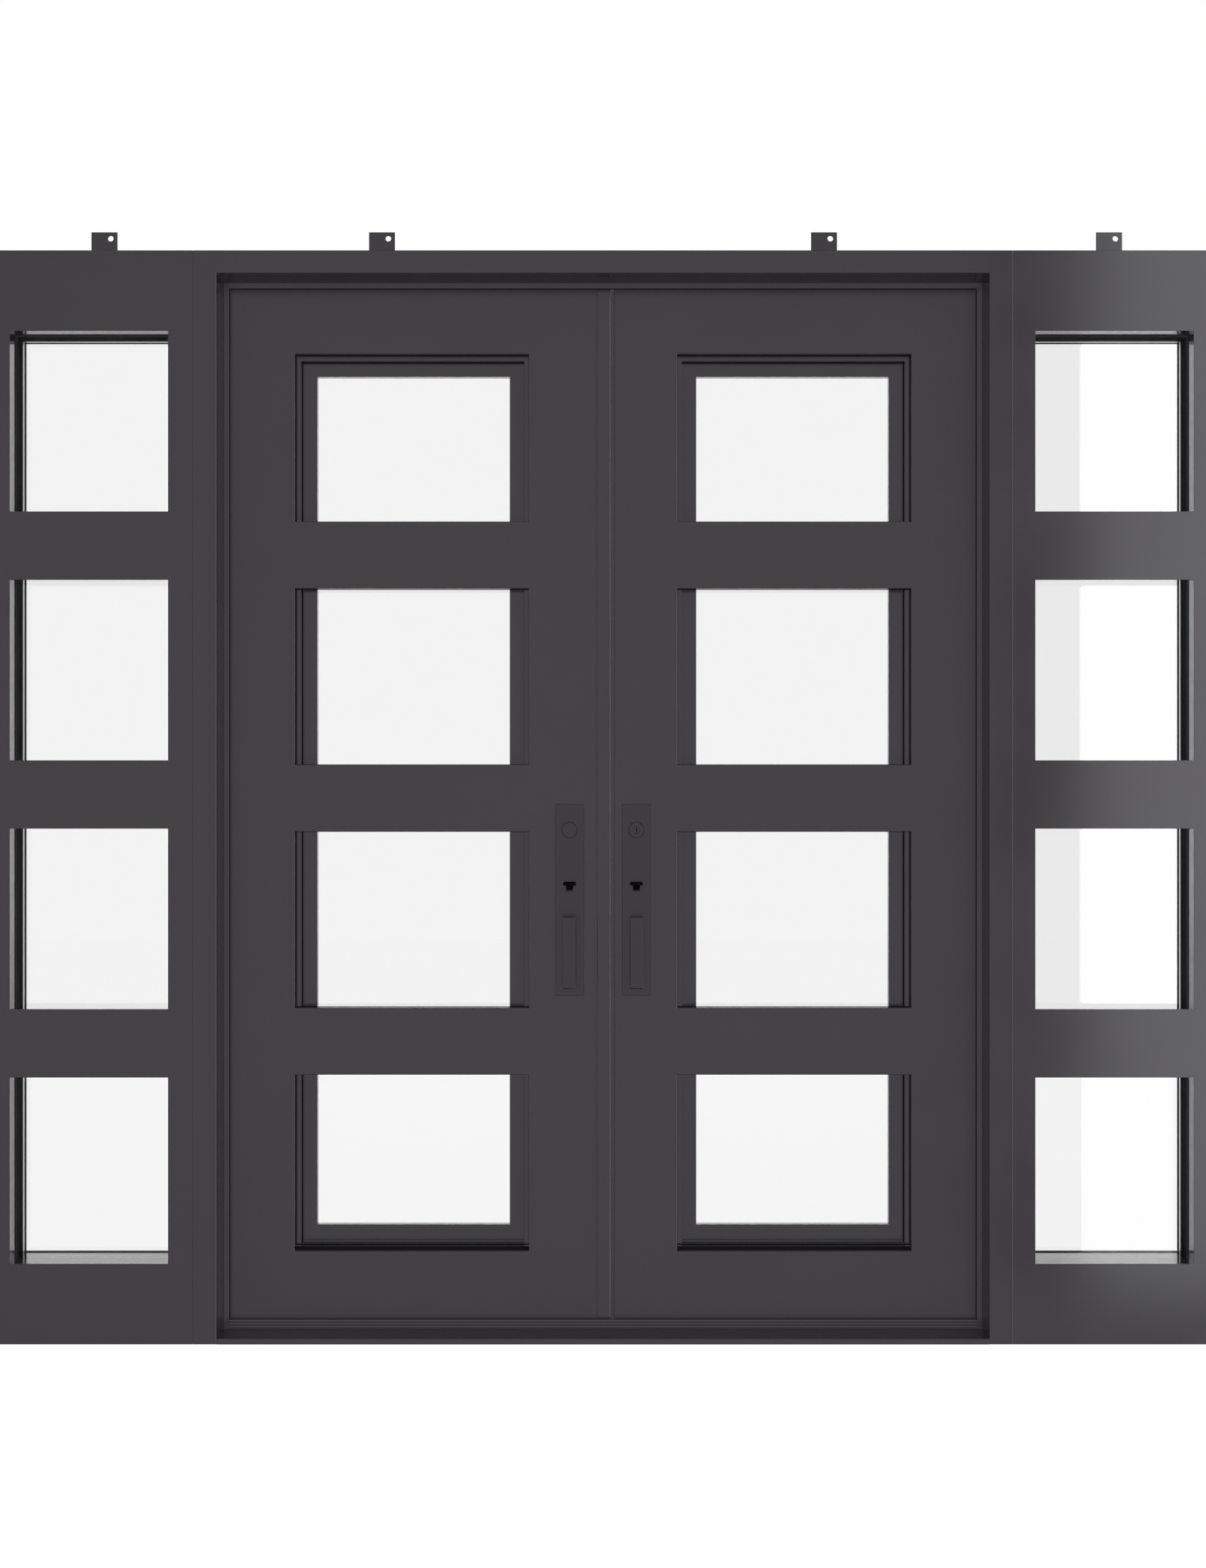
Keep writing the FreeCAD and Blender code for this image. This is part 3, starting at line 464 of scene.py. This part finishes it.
class SealSettings(bpy.types.PropertyGroup):
    """Sizes and colours of the seals, and of the painted shade and painted reflection among them.
    """
    rubber: colour("Rubber", "Colour of gaskets and weatherstrip", "#323234")
    # The same black also serves as painted shade in the lite corners and along the stops.
    bead: colour("Sealant", "Colour of the sealant", "#141415")
    pile: colour("Pile", "Colour of the brush seal", "#4A474C")
    # Painted reflection: the strips' bright colour stands in for the reveals' glint of the white
    # behind the sidelights.
    strip: colour("Strip", "Colour of the strips in the sidelights' gaskets", "#B9BABC")
    # The beads' depth carries their black down the recess walls as painted shade.
    bead_depth: length("Bead depth", "Front to back of a bead of sealant", 8.0 * MM)
    bead_width: length("Bead width", "Thickness of a bead of sealant", 0.8 * MM)
    # Painted shade: this is the width of a dark strip on the stops' inner edge, where only shade
    # falls.
    stop_shade_width: length("Stop seal", "Thickness of the seal on the stops' inner edge", 0.6 * MM)
    lip: length("Lip width", "Glazing lip seen round the sash", 11.7 * MM)
    strip_front: length("Strip front", "From the glass to the strips", 10.0 * MM)
    strip_back: length("Strip back", "From the glass to the strips' back", 20.5 * MM)
    strip_half: length("Strip half", "Half the strips' thickness", 0.3 * MM)
    crest: length("Pile crest", "Height of the brush seal's rounded face", 2.0 * MM)


class HardwareSettings(bpy.types.PropertyGroup):
    """Sizes and colour of the door hardware's dark parts and of the painted shade round its
    cylinders.
    """
    # The dark lines in this colour are painted shade round and in the cylinders; the thumb pieces
    # are black oxide.
    lever: colour("Thumb piece", "Colour of thumb pieces and dark lines", "#0A0A0B")
    # Painted shade: the collar line is a dark ring where the collar's step throws shade.
    ring: length("Collar line", "Width of the dark line round a cylinder's collar", 1.2 * MM)
    ring_depth: length("Collar line depth", "From a cylinder's face to that line", 0.3 * MM)
    plug: length("Plug", "Radius of the groove round the plug", 7.8 * MM)
    groove: length("Groove", "Thickness of the dark line in that groove", 0.5 * MM)
    keyway: length("Keyway", "Height of the keyway", 8.8 * MM)
    keyway_half: length("Keyway half", "Half the keyway's width", 1.0 * MM)
    # Painted shade: the linings are dark pieces in the plug's groove and the keyway, where only
    # shade falls.
    shade_front: length("Lining front", "From the cylinder's face to its linings", 0.4 * MM)
    shade_back: length("Lining back", "From the face to the keyway lining's back", 2.1 * MM)


class StudioSettings(bpy.types.PropertyGroup):
    """Light, floor and background."""
    ambient: factor("Ambient", "Light that reaches dull surfaces from all round", 0.12, 5.0)
    front: factor("Front light", "Light from beside the camera on dull surfaces", 0.64, 5.0)
    front_gloss: factor("Front gloss", "What shiny surfaces see in front of the door", 0.81, 5.0)
    side_gloss: factor("Side gloss", "What shiny surfaces see in front at the right", 2.7, 20.0)
    strip_gloss: factor("Strip gloss", "What they see in the dark strip beside it", 0.28, 5.0)
    back_gloss: factor("Back gloss", "What they see behind the door", 1.3, 5.0)
    high_gloss: factor("High gloss", "What they see far above and below", 0.25, 5.0)
    strip_start: length("Strip start", "Left edge of the dark strip, from the middle", 1.778)
    strip_end: length("Strip end", "Right edge of the dark strip, from the middle", 2.168)
    floor: colour("Floor", "Colour of the floor", "#F4F4F4")
    floor_glow: factor("Floor glow", "Plain white laid over the floor for the camera", 1.055, 5.0)
    floor_share: factor("Floor share", "How far that white covers the floor", 0.94)


class DOOR_OT_frame(bpy.types.Operator):
    """Frame of the door unit: jambs and head welded into one, with threshold, stops and tabs"""
    bl_idname = "door.frame"
    bl_label = "Door frame"

    def execute(self, context):
        look = context.scene.door_steel
        parts = [box_of(name) for name in ("left_jamb", "right_jamb", "head")]
        welded = surface("frame_welded", *lattice(parts), steel(), "frame", "painted_steel")
        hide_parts("left_jamb", "right_jamb", "head")
        soften(welded, look.edge)
        dress(("threshold", "anchor_tabs"), steel())
        # The stops take the lighter copy of the coat, which is painted light.
        dress(["door_stops"], steel("bar_stock"))
        for name in ("threshold", "door_stops", "anchor_tabs"):
            soften(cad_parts[name], look.fine_edge, cad=True)
        self.mouldings(look.stop, look.ridge, context.scene.door_seals.stop_shade_width)
        return {"FINISHED"}

    def ridged(self, face, wide, high):
        """Outline of three ridges: forward of a face by high times |sin| of three half turns."""
        back = face + 0.5 * MM
        inset = np.linspace(0.0, wide, 25)
        crest = face - high * np.abs(np.sin(3 * math.pi * inset / wide))
        return list(zip(inset, crest)) + [(wide, back), (0.0, back)]

    def mouldings(self, wide, high, thick):
        """Ridges on the stops and on the upstand between them, and a dark strip of painted shade
        inside the stops.
        """
        x0, x1, y0, y1, _, head = box_of("door_stops")
        low, top = box_of("weatherstrip")[4], box_of("threshold")[5]
        # The ridged stops and upstand take the lighter copy of the coat, painted light for the
        # reflection their recess loses.
        stops = moulding(self.ridged(y0, wide, high), surround(x0, x1, low, head))
        surface("stop_mouldings", *stops, steel("bar_stock"), "frame", smooth=False)
        upstand = moulding(self.ridged(y0, top - low, high),
                           [(x0 + wide, 0, top, -1), (x1 - wide, 0, top, -1)])
        surface("sill_mouldings", *upstand, steel("bar_stock"), "frame", smooth=False)
        # Painted shade: a thin dark strip on the stops' inner side face darkens the line where
        # stops meet leaves.
        front = y0 + 1 * MM
        edge = [(wide, front), (wide + thick, front), (wide + thick, y1), (wide, y1)]
        surface("stop_painted_shade", *moulding(edge, surround(x0, x1, top, head)), sealant_and_painted_shade(), "frame",
                smooth=False)


class DOOR_OT_sidelights(bpy.types.Operator):
    """Steelwork of both sidelights, each welded into one piece"""
    bl_idname = "door.sidelights"
    bl_label = "Sidelights"

    def execute(self, context):
        look = context.scene.door_steel
        for side in SIDES:
            opening = box_of(side + "_sidelight_gaskets")
            outer = list(box_of(side + "_sidelight_stiles"))
            outer[2] += look.step
            filled = ring(outer, opening[0], opening[1], opening[4], opening[5])
            bars = crossbars(side + "_sidelight_bars", look.bar, look.step)
            points, quads = lattice(filled + bars)
            welded = surface(side + "_sidelight_welded", points, quads, steel(), "frame",
                             "painted_steel")
            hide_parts(*[side + "_sidelight_" + part for part in ("stiles", "rails", "bars")])
            soften(welded, look.side_edge)
        return {"FINISHED"}


class DOOR_OT_leaves(bpy.types.Operator):
    """Steelwork of both leaves: welded stiles, rails and bars, glazing lip, sash and astragal"""
    bl_idname = "door.leaves"
    bl_label = "Leaves"

    def execute(self, context):
        look = context.scene.door_steel
        for side in SIDES:
            body = side + "_leaf"
            outer = box_of(side + "_leaf_stiles")
            recess = box_of(side + "_leaf_bars")
            foot, head = box_of(side + "_sill_gasket")[4], box_of(side + "_glazing_lip")[5]
            filled = ring(outer, recess[0], recess[1], foot, head)
            lever = box_of(side + "_thumb_piece")
            level = (lever[4] + lever[5]) / 2
            pocket = (lever[0] - look.pocket_side, lever[1] + look.pocket_side,
                      outer[2], outer[2] + look.pocket,
                      level - look.pocket_reach, level + look.pocket_reach)
            points, quads = lattice(filled + crossbars(side + "_leaf_bars", look.bar), [pocket])
            welded = surface(side + "_leaf_welded", points, quads, steel(), body, "painted_steel")
            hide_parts(*[side + "_leaf_" + part for part in ("stiles", "rails", "bars")])
            soften(welded, look.edge)
            for part in ("_glazing_lip", "_sash"):
                dress([side + part], steel())
                soften(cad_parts[side + part], look.fine_edge, cad=True)
        dress(["astragal"], steel())
        soften(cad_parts["astragal"], look.strip_edge, cad=True)
        return {"FINISHED"}


class DOOR_OT_glass(bpy.types.Operator):
    """Insulated glass: two sheets for each lite of the sidelights and for each leaf"""
    bl_idname = "door.glass"
    bl_label = "Glass"

    def execute(self, context):
        look = context.scene.door_glass
        for side in SIDES:
            self.unit(side + "_sidelight", "frame", look.side_sheet, look)
            self.unit(side + "_leaf", side + "_leaf", look.leaf_sheet, look)
        return {"FINISHED"}

    def unit(self, place, body, sheet, look):
        """Two sheets at the front and back of a CAD pane's box, reaching into what holds them."""
        node, bite = place + "_glass", look.bite
        x0, x1, y0, y1, z0, z1 = box_of(node)
        points, quads = lattice([(x0 - bite, x1 + bite, front, front + sheet, z0 - bite, z1 + bite)
                                 for front in (y0, y1 - sheet)])
        finish = made_once(float_glass, "clear_float_glass", tuple(look.tint) + (1.0,))
        made = surface(place + "_unit", points, quads, finish, body, "insulated_glass",
                       smooth=False)
        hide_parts(node)


class DOOR_OT_seals(bpy.types.Operator):
    """Gaskets, weatherstrip and brush seal"""
    bl_idname = "door.seals"
    bl_label = "Seals"

    def execute(self, context):
        look = context.scene.door_seals
        rubber = made_once(extruded_rubber, "extruded_epdm_rubber", tuple(look.rubber))
        dress(["weatherstrip"] + [side + part for side in SIDES
                                  for part in ("_sill_gasket", "_sidelight_gaskets")], rubber)
        self.meeting(look)
        for side in SIDES:
            self.sealant_shade_beads(side, look, context.scene.door_steel.bar)
            self.strips(side, look)
        return {"FINISHED"}

    def meeting(self, look):
        """Brush seal: its face is half an ellipse across, bulging forward by the crest.

        It reaches across to 0.1 mm from the left leaf, so that no light shows between the leaves.
        """
        _, x1, y0, y1, z0, z1 = box_of("meeting_seal")
        x0 = box_of("left_leaf_stiles")[1] + 0.1 * MM
        turn = np.linspace(math.pi, 2 * math.pi, 13)
        across = (x0 + x1) / 2 + (x1 - x0) / 2 * np.cos(turn)
        along = y0 + look.crest * (1 + np.sin(turn))
        outline = np.concatenate([np.stack([across, along], 1), [(x1, y1), (x0, y1)]])
        pile = made_once(pile_fibre, "woven_pile", tuple(look.pile))
        made = surface("meeting_brush", *prism(outline, z0, z1), pile, "right_leaf", smooth=False)
        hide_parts("meeting_seal")

    def strips(self, side, look):
        """Painted reflection: bright strips in the sidelight's gasket behind the glass, at both
        sides and the top.
        """
        x0, x1, _, y1, z0, z1 = box_of(side + "_sidelight_glass")
        front, back, half = y1 + look.strip_front, y1 + look.strip_back, look.strip_half
        boxes = [(x - half, x + half, front, back, z0, z1 - half) for x in (x0, x1)]
        boxes.append((x0 - half, x1 + half, front, back, z1 - half, z1 + half))
        # Painted reflection: bright metal strips standing in for the reveals' glint of the white
        # behind.
        reflection_metal = made_once(reflection_strip_metal, "mill_finish_aluminium", tuple(look.strip))
        surface(side + "_strips", *lattice(boxes), reflection_metal, "frame", smooth=False)

    def sealant_shade_beads(self, side, look, bar):
        """Black sealant in the corner of each lite with the lip, and of the lip with the sash, deep
        enough to paint the shade in those corners.
        """
        x0, x1, back, _, _, top = box_of(side + "_glazing_lip")
        low, wide, deep = box_of(side + "_sill_gasket")[5], look.bead_width, look.bead_depth
        levels = [low]
        for box in crossbars(side + "_leaf_bars", bar):
            levels += box[4:]
        levels.append(top)
        boxes = []
        for foot, head in zip(levels[::2], levels[1::2]):
            boxes += ring((x0, x1, back - deep, back, foot, head),
                          x0 + wide, x1 - wide, foot + wide, head - wide)
        x0, x1, top, back = x0 + look.lip, x1 - look.lip, top - look.lip, box_of(side + "_sash")[2]
        boxes += [(x0, x0 + wide, back - deep, back, low, top),
                  (x1 - wide, x1, back - deep, back, low, top),
                  (x0, x1, back - deep, back, top - wide, top)]
        # Painted shade: the beads' black darkens these corners.
        surface(side + "_beads", *lattice(boxes), sealant_and_painted_shade(), side + "_leaf", smooth=False)


class DOOR_OT_hinges(bpy.types.Operator):
    """Barrel hinges"""
    bl_idname = "door.hinges"
    bl_label = "Hinges"

    def execute(self, context):
        look = context.scene.door_steel
        names = [side + part for side in SIDES for part in ("_frame_hinges", "_leaf_hinges")]
        dress(names, steel("fittings"))
        for name in names:
            soften(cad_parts[name], look.fine_edge, cad=True)
        return {"FINISHED"}


class DOOR_OT_hardware(bpy.types.Operator):
    """Plates, cylinders, thumb pieces and pulls, with painted shade in and round the cylinders"""
    bl_idname = "door.hardware"
    bl_label = "Hardware"

    def execute(self, context):
        look = context.scene.door_hardware
        edge = context.scene.door_steel.fine_edge
        # This black finish dresses the thumb pieces and also paints the shade round and in the
        # cylinders.
        lever = made_once(black_oxide, "black_oxide_casting", tuple(look.lever))
        for side in SIDES:
            names = [side + part for part in ("_escutcheon", "_cylinder", "_pull", "_inner_trim")]
            dress(names, steel("fittings"))
            dress([side + "_thumb_piece"], lever)
            for name in names + [side + "_thumb_piece"]:
                soften(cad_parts[name], edge, cad=True)
            self.collar_painted_shade(side, look, lever)
        self.key_painted_shade(look, lever)
        return {"FINISHED"}

    def collar_painted_shade(self, side, look, finish):
        """Painted shade: a dark ring where the collar's face steps down round its edge."""
        x0, x1, y0, _, z0, z1 = box_of(side + "_cylinder")
        centre = ((x0 + x1) / 2, y0 + look.ring_depth, (z0 + z1) / 2)
        surface(side + "_collar_painted_shade", *hoop((x1 - x0) / 2 - look.ring, look.ring, centre), finish,
                side + "_leaf")

    def key_painted_shade(self, look, finish):
        """Painted shade: dark insides of the groove round the plug and of its keyway."""
        x0, x1, y0, _, z0, z1 = box_of("right_cylinder")
        middle, level = (x0 + x1) / 2, (z0 + z1) / 2
        half, tall, front = look.keyway_half, look.keyway / 2, y0 + look.shade_front
        groove = hoop(look.plug, look.groove, (middle, front, level))
        surface("plug_groove", *groove, finish, "right_leaf")
        slot = lattice([(middle - half, middle + half, front, y0 + look.shade_back,
                         level - tall, level + tall)])
        surface("keyway_painted_shade", *slot, finish, "right_leaf", smooth=False)


class DOOR_OT_stage(bpy.types.Operator):
    """Floor, soft studio light, white background and camera"""
    bl_idname = "door.stage"
    bl_label = "Stage"

    def execute(self, context):
        look = context.scene.door_studio
        self.floor(look)
        self.world(context, look)
        self.screen(look)
        self.lamp(context, look)
        self.camera(context)
        context.scene.view_settings.view_transform = "Standard"
        return {"FINISHED"}

    def floor(self, look):
        """Pale painted floor, nearly plain white where the camera sees it, also through glass."""
        made, tree, shader, _ = material("painted_concrete_floor")
        shader.inputs["Base Color"].default_value = tuple(look.floor) + (1.0,)
        shader.inputs["Roughness"].default_value = 0.8
        shader.inputs["Specular IOR Level"].default_value = 0.0
        path = add(tree, "ShaderNodeLightPath")
        white = add(tree, "ShaderNodeEmission", Strength=look.floor_glow)
        seen = self.maths(tree, "MAXIMUM", path.outputs["Is Camera Ray"],
                          path.outputs["Is Transmission Ray"])
        share = self.maths(tree, "MULTIPLY", seen, look.floor_share)
        both = add(tree, "ShaderNodeMixShader", {0: share, 1: shader.outputs[0],
                                                 2: white.outputs[0]})
        out = next(node for node in tree.nodes if node.type == "OUTPUT_MATERIAL")
        tree.links.new(both.outputs[0], out.inputs["Surface"])
        reach = 14.0  # metres from the origin to each edge
        points = [(-reach, -reach, 0), (reach, -reach, 0), (reach, reach, 0), (-reach, reach, 0)]
        floor = surface("floor", points, [(0, 1, 2, 3)], made, None)
        floor.visible_glossy = False

    def world(self, context, look):
        """White behind everything, plain soft light for dull surfaces, and a studio for shiny ones.

        Shiny surfaces see a dimmer white in front of the door, a bright wall at the right, and
        little light from above and below.
        """
        world = bpy.data.worlds.new("studio")
        world.use_nodes = True
        context.scene.world = world
        tree = world.node_tree
        tree.nodes.clear()
        way = add(tree, "ShaderNodeTexCoord").outputs["Generated"]
        split = add(tree, "ShaderNodeSeparateXYZ", {0: way}).outputs
        ahead = self.maths(tree, "MULTIPLY", split["Y"], -1.0)
        turn = self.maths(tree, "ARCTAN2", split["X"], ahead)
        wall_start, wall_end = math.radians(20), math.radians(105)  # turned right from the front
        blend = 0.3  # front white fades into back white between y = -blend and y = blend
        steep = 0.5  # sine of the height above or below which little light comes
        white = add(tree, "ShaderNodeMapRange", {"Value": split["Y"]}, From_Min=-blend,
                    From_Max=blend, To_Min=look.front_gloss,
                    To_Max=look.back_gloss).outputs["Result"]
        wall = self.above(tree, turn, wall_start, white, look.side_gloss)
        level = self.above(tree, turn, wall_end, wall, white)
        tall = self.maths(tree, "ABSOLUTE", split["Z"], 0.0)
        studio = self.above(tree, tall, steep, level, look.high_gloss)
        path = add(tree, "ShaderNodeLightPath").outputs
        shiny = self.above(tree, path["Glossy Depth"], 0.5, 1.0, studio)
        light = self.above(tree, path["Diffuse Depth"], 0.5, shiny, look.ambient)
        sky = add(tree, "ShaderNodeBackground", {"Strength": light}, Color=(1.0, 1.0, 1.0, 1.0))
        add(tree, "ShaderNodeOutputWorld", {"Surface": sky.outputs[0]})

    def screen(self, look):
        """Screen behind the camera that only shiny surfaces see: dim, then dark, then bright."""
        made = bpy.data.materials.new("studio_screen")
        made.use_nodes = True
        tree = made.node_tree
        tree.nodes.clear()
        place = add(tree, "ShaderNodeTexCoord").outputs["Object"]
        across = add(tree, "ShaderNodeSeparateXYZ", {0: place}).outputs["X"]
        strip = self.above(tree, across, look.strip_start, look.front_gloss, look.strip_gloss)
        level = self.above(tree, across, look.strip_end, strip, look.side_gloss)
        white = add(tree, "ShaderNodeEmission", {"Strength": level})
        clear = add(tree, "ShaderNodeBsdfTransparent")
        depth = add(tree, "ShaderNodeLightPath").outputs["Glossy Depth"]
        both = add(tree, "ShaderNodeMixShader", {0: self.maths(tree, "GREATER_THAN", depth, 0.5),
                                                 1: clear.outputs[0], 2: white.outputs[0]})
        add(tree, "ShaderNodeOutputMaterial", {"Surface": both.outputs[0]})
        y, reach, low, top = -STUDIO_AWAY, 5.0, -1.0, 6.0
        points = [(-reach, y, low), (-reach, y, top), (reach, y, top), (reach, y, low)]
        screen = surface("screen", points, [(0, 1, 2, 3)], made, None)
        for ray in ("camera", "diffuse", "shadow"):
            setattr(screen, "visible_" + ray, False)

    def maths(self, tree, operation, first, second):
        """Output of a maths node whose second value may be a plain number."""
        node = add(tree, "ShaderNodeMath", {0: first}, operation=operation)
        if isinstance(second, float):
            node.inputs[1].default_value = second
        else:
            tree.links.new(second, node.inputs[1])
        return node.outputs[0]

    def above(self, tree, value, limit, no, yes):
        """Output that follows yes where a value is above a limit, and else no."""
        switch = self.maths(tree, "GREATER_THAN", value, limit)
        node = add(tree, "ShaderNodeMix", {"Factor": switch})
        for socket, value in (("A", no), ("B", yes)):
            if isinstance(value, float):
                node.inputs[socket].default_value = value
            else:
                tree.links.new(value, node.inputs[socket])
        return node.outputs["Result"]

    def lamp(self, context, look):
        """A small light at the camera for dull surfaces alone, whose shadows fall out of sight.

        Its power is the light wanted times pi squared and the square of its distance.
        """
        data = bpy.data.lights.new("front_light", "AREA")
        data.shape = "SQUARE"
        data.size = 0.2
        reach = STUDIO_AWAY - FRONT
        data.energy = look.front * math.pi ** 2 * reach ** 2
        made = bpy.data.objects.new("front_light", data)
        context.scene.collection.objects.link(made)
        made.location = (0.0, -STUDIO_AWAY, EYE_LEVEL)
        made.rotation_euler = (math.radians(90), 0.0, 0.0)
        for ray in ("camera", "glossy", "transmission"):
            setattr(made, "visible_" + ray, False)

    def camera(self, context):
        """Level camera at half the frame's height, straight in front, shifted up 17.75 pixels."""
        data = bpy.data.cameras.new("camera")
        data.lens = 50.0
        data.sensor_width = 36.0
        data.shift_y = 17.75 / 2080
        data.clip_start = 0.1
        data.clip_end = 100.0
        made = bpy.data.objects.new("camera", data)
        context.scene.collection.objects.link(made)
        made.location = (0.0, FRONT - EYE_AWAY, EYE_LEVEL)
        made.rotation_euler = (math.radians(90), 0.0, 0.0)
        context.scene.camera = made


GROUPS = (("door_steel", SteelSettings), ("door_glass", GlassSettings),
          ("door_seals", SealSettings), ("door_hardware", HardwareSettings),
          ("door_studio", StudioSettings))
OPERATORS = (DOOR_OT_frame, DOOR_OT_sidelights, DOOR_OT_leaves, DOOR_OT_glass, DOOR_OT_seals,
             DOOR_OT_hinges, DOOR_OT_hardware, DOOR_OT_stage)


class DOOR_PT_panel(bpy.types.Panel):
    """Settings and buttons of the door"""
    bl_idname = "DOOR_PT_panel"
    bl_label = "Door with sidelights"
    bl_space_type = "VIEW_3D"
    bl_region_type = "UI"
    bl_category = "Door"

    def draw(self, context):
        for name, group in GROUPS:
            box = self.layout.box()
            box.label(text=group.__doc__)
            for setting in group.__annotations__:
                box.prop(getattr(context.scene, name), setting)
        for operator in OPERATORS:
            self.layout.operator(operator.bl_idname)


def register():
    for name, group in GROUPS:
        bpy.utils.register_class(group)
        setattr(bpy.types.Scene, name, bpy.props.PointerProperty(type=group))
    for operator in OPERATORS:
        bpy.utils.register_class(operator)
    bpy.utils.register_class(DOOR_PT_panel)


def unregister():
    bpy.utils.unregister_class(DOOR_PT_panel)
    for operator in reversed(OPERATORS):
        bpy.utils.unregister_class(operator)
    for name, group in reversed(GROUPS):
        delattr(bpy.types.Scene, name)
        bpy.utils.unregister_class(group)


def main():
    register()
    for operator in OPERATORS:
        group, name = operator.bl_idname.split(".")
        getattr(getattr(bpy.ops, group), name)()


if __name__ == "__main__":
    main()
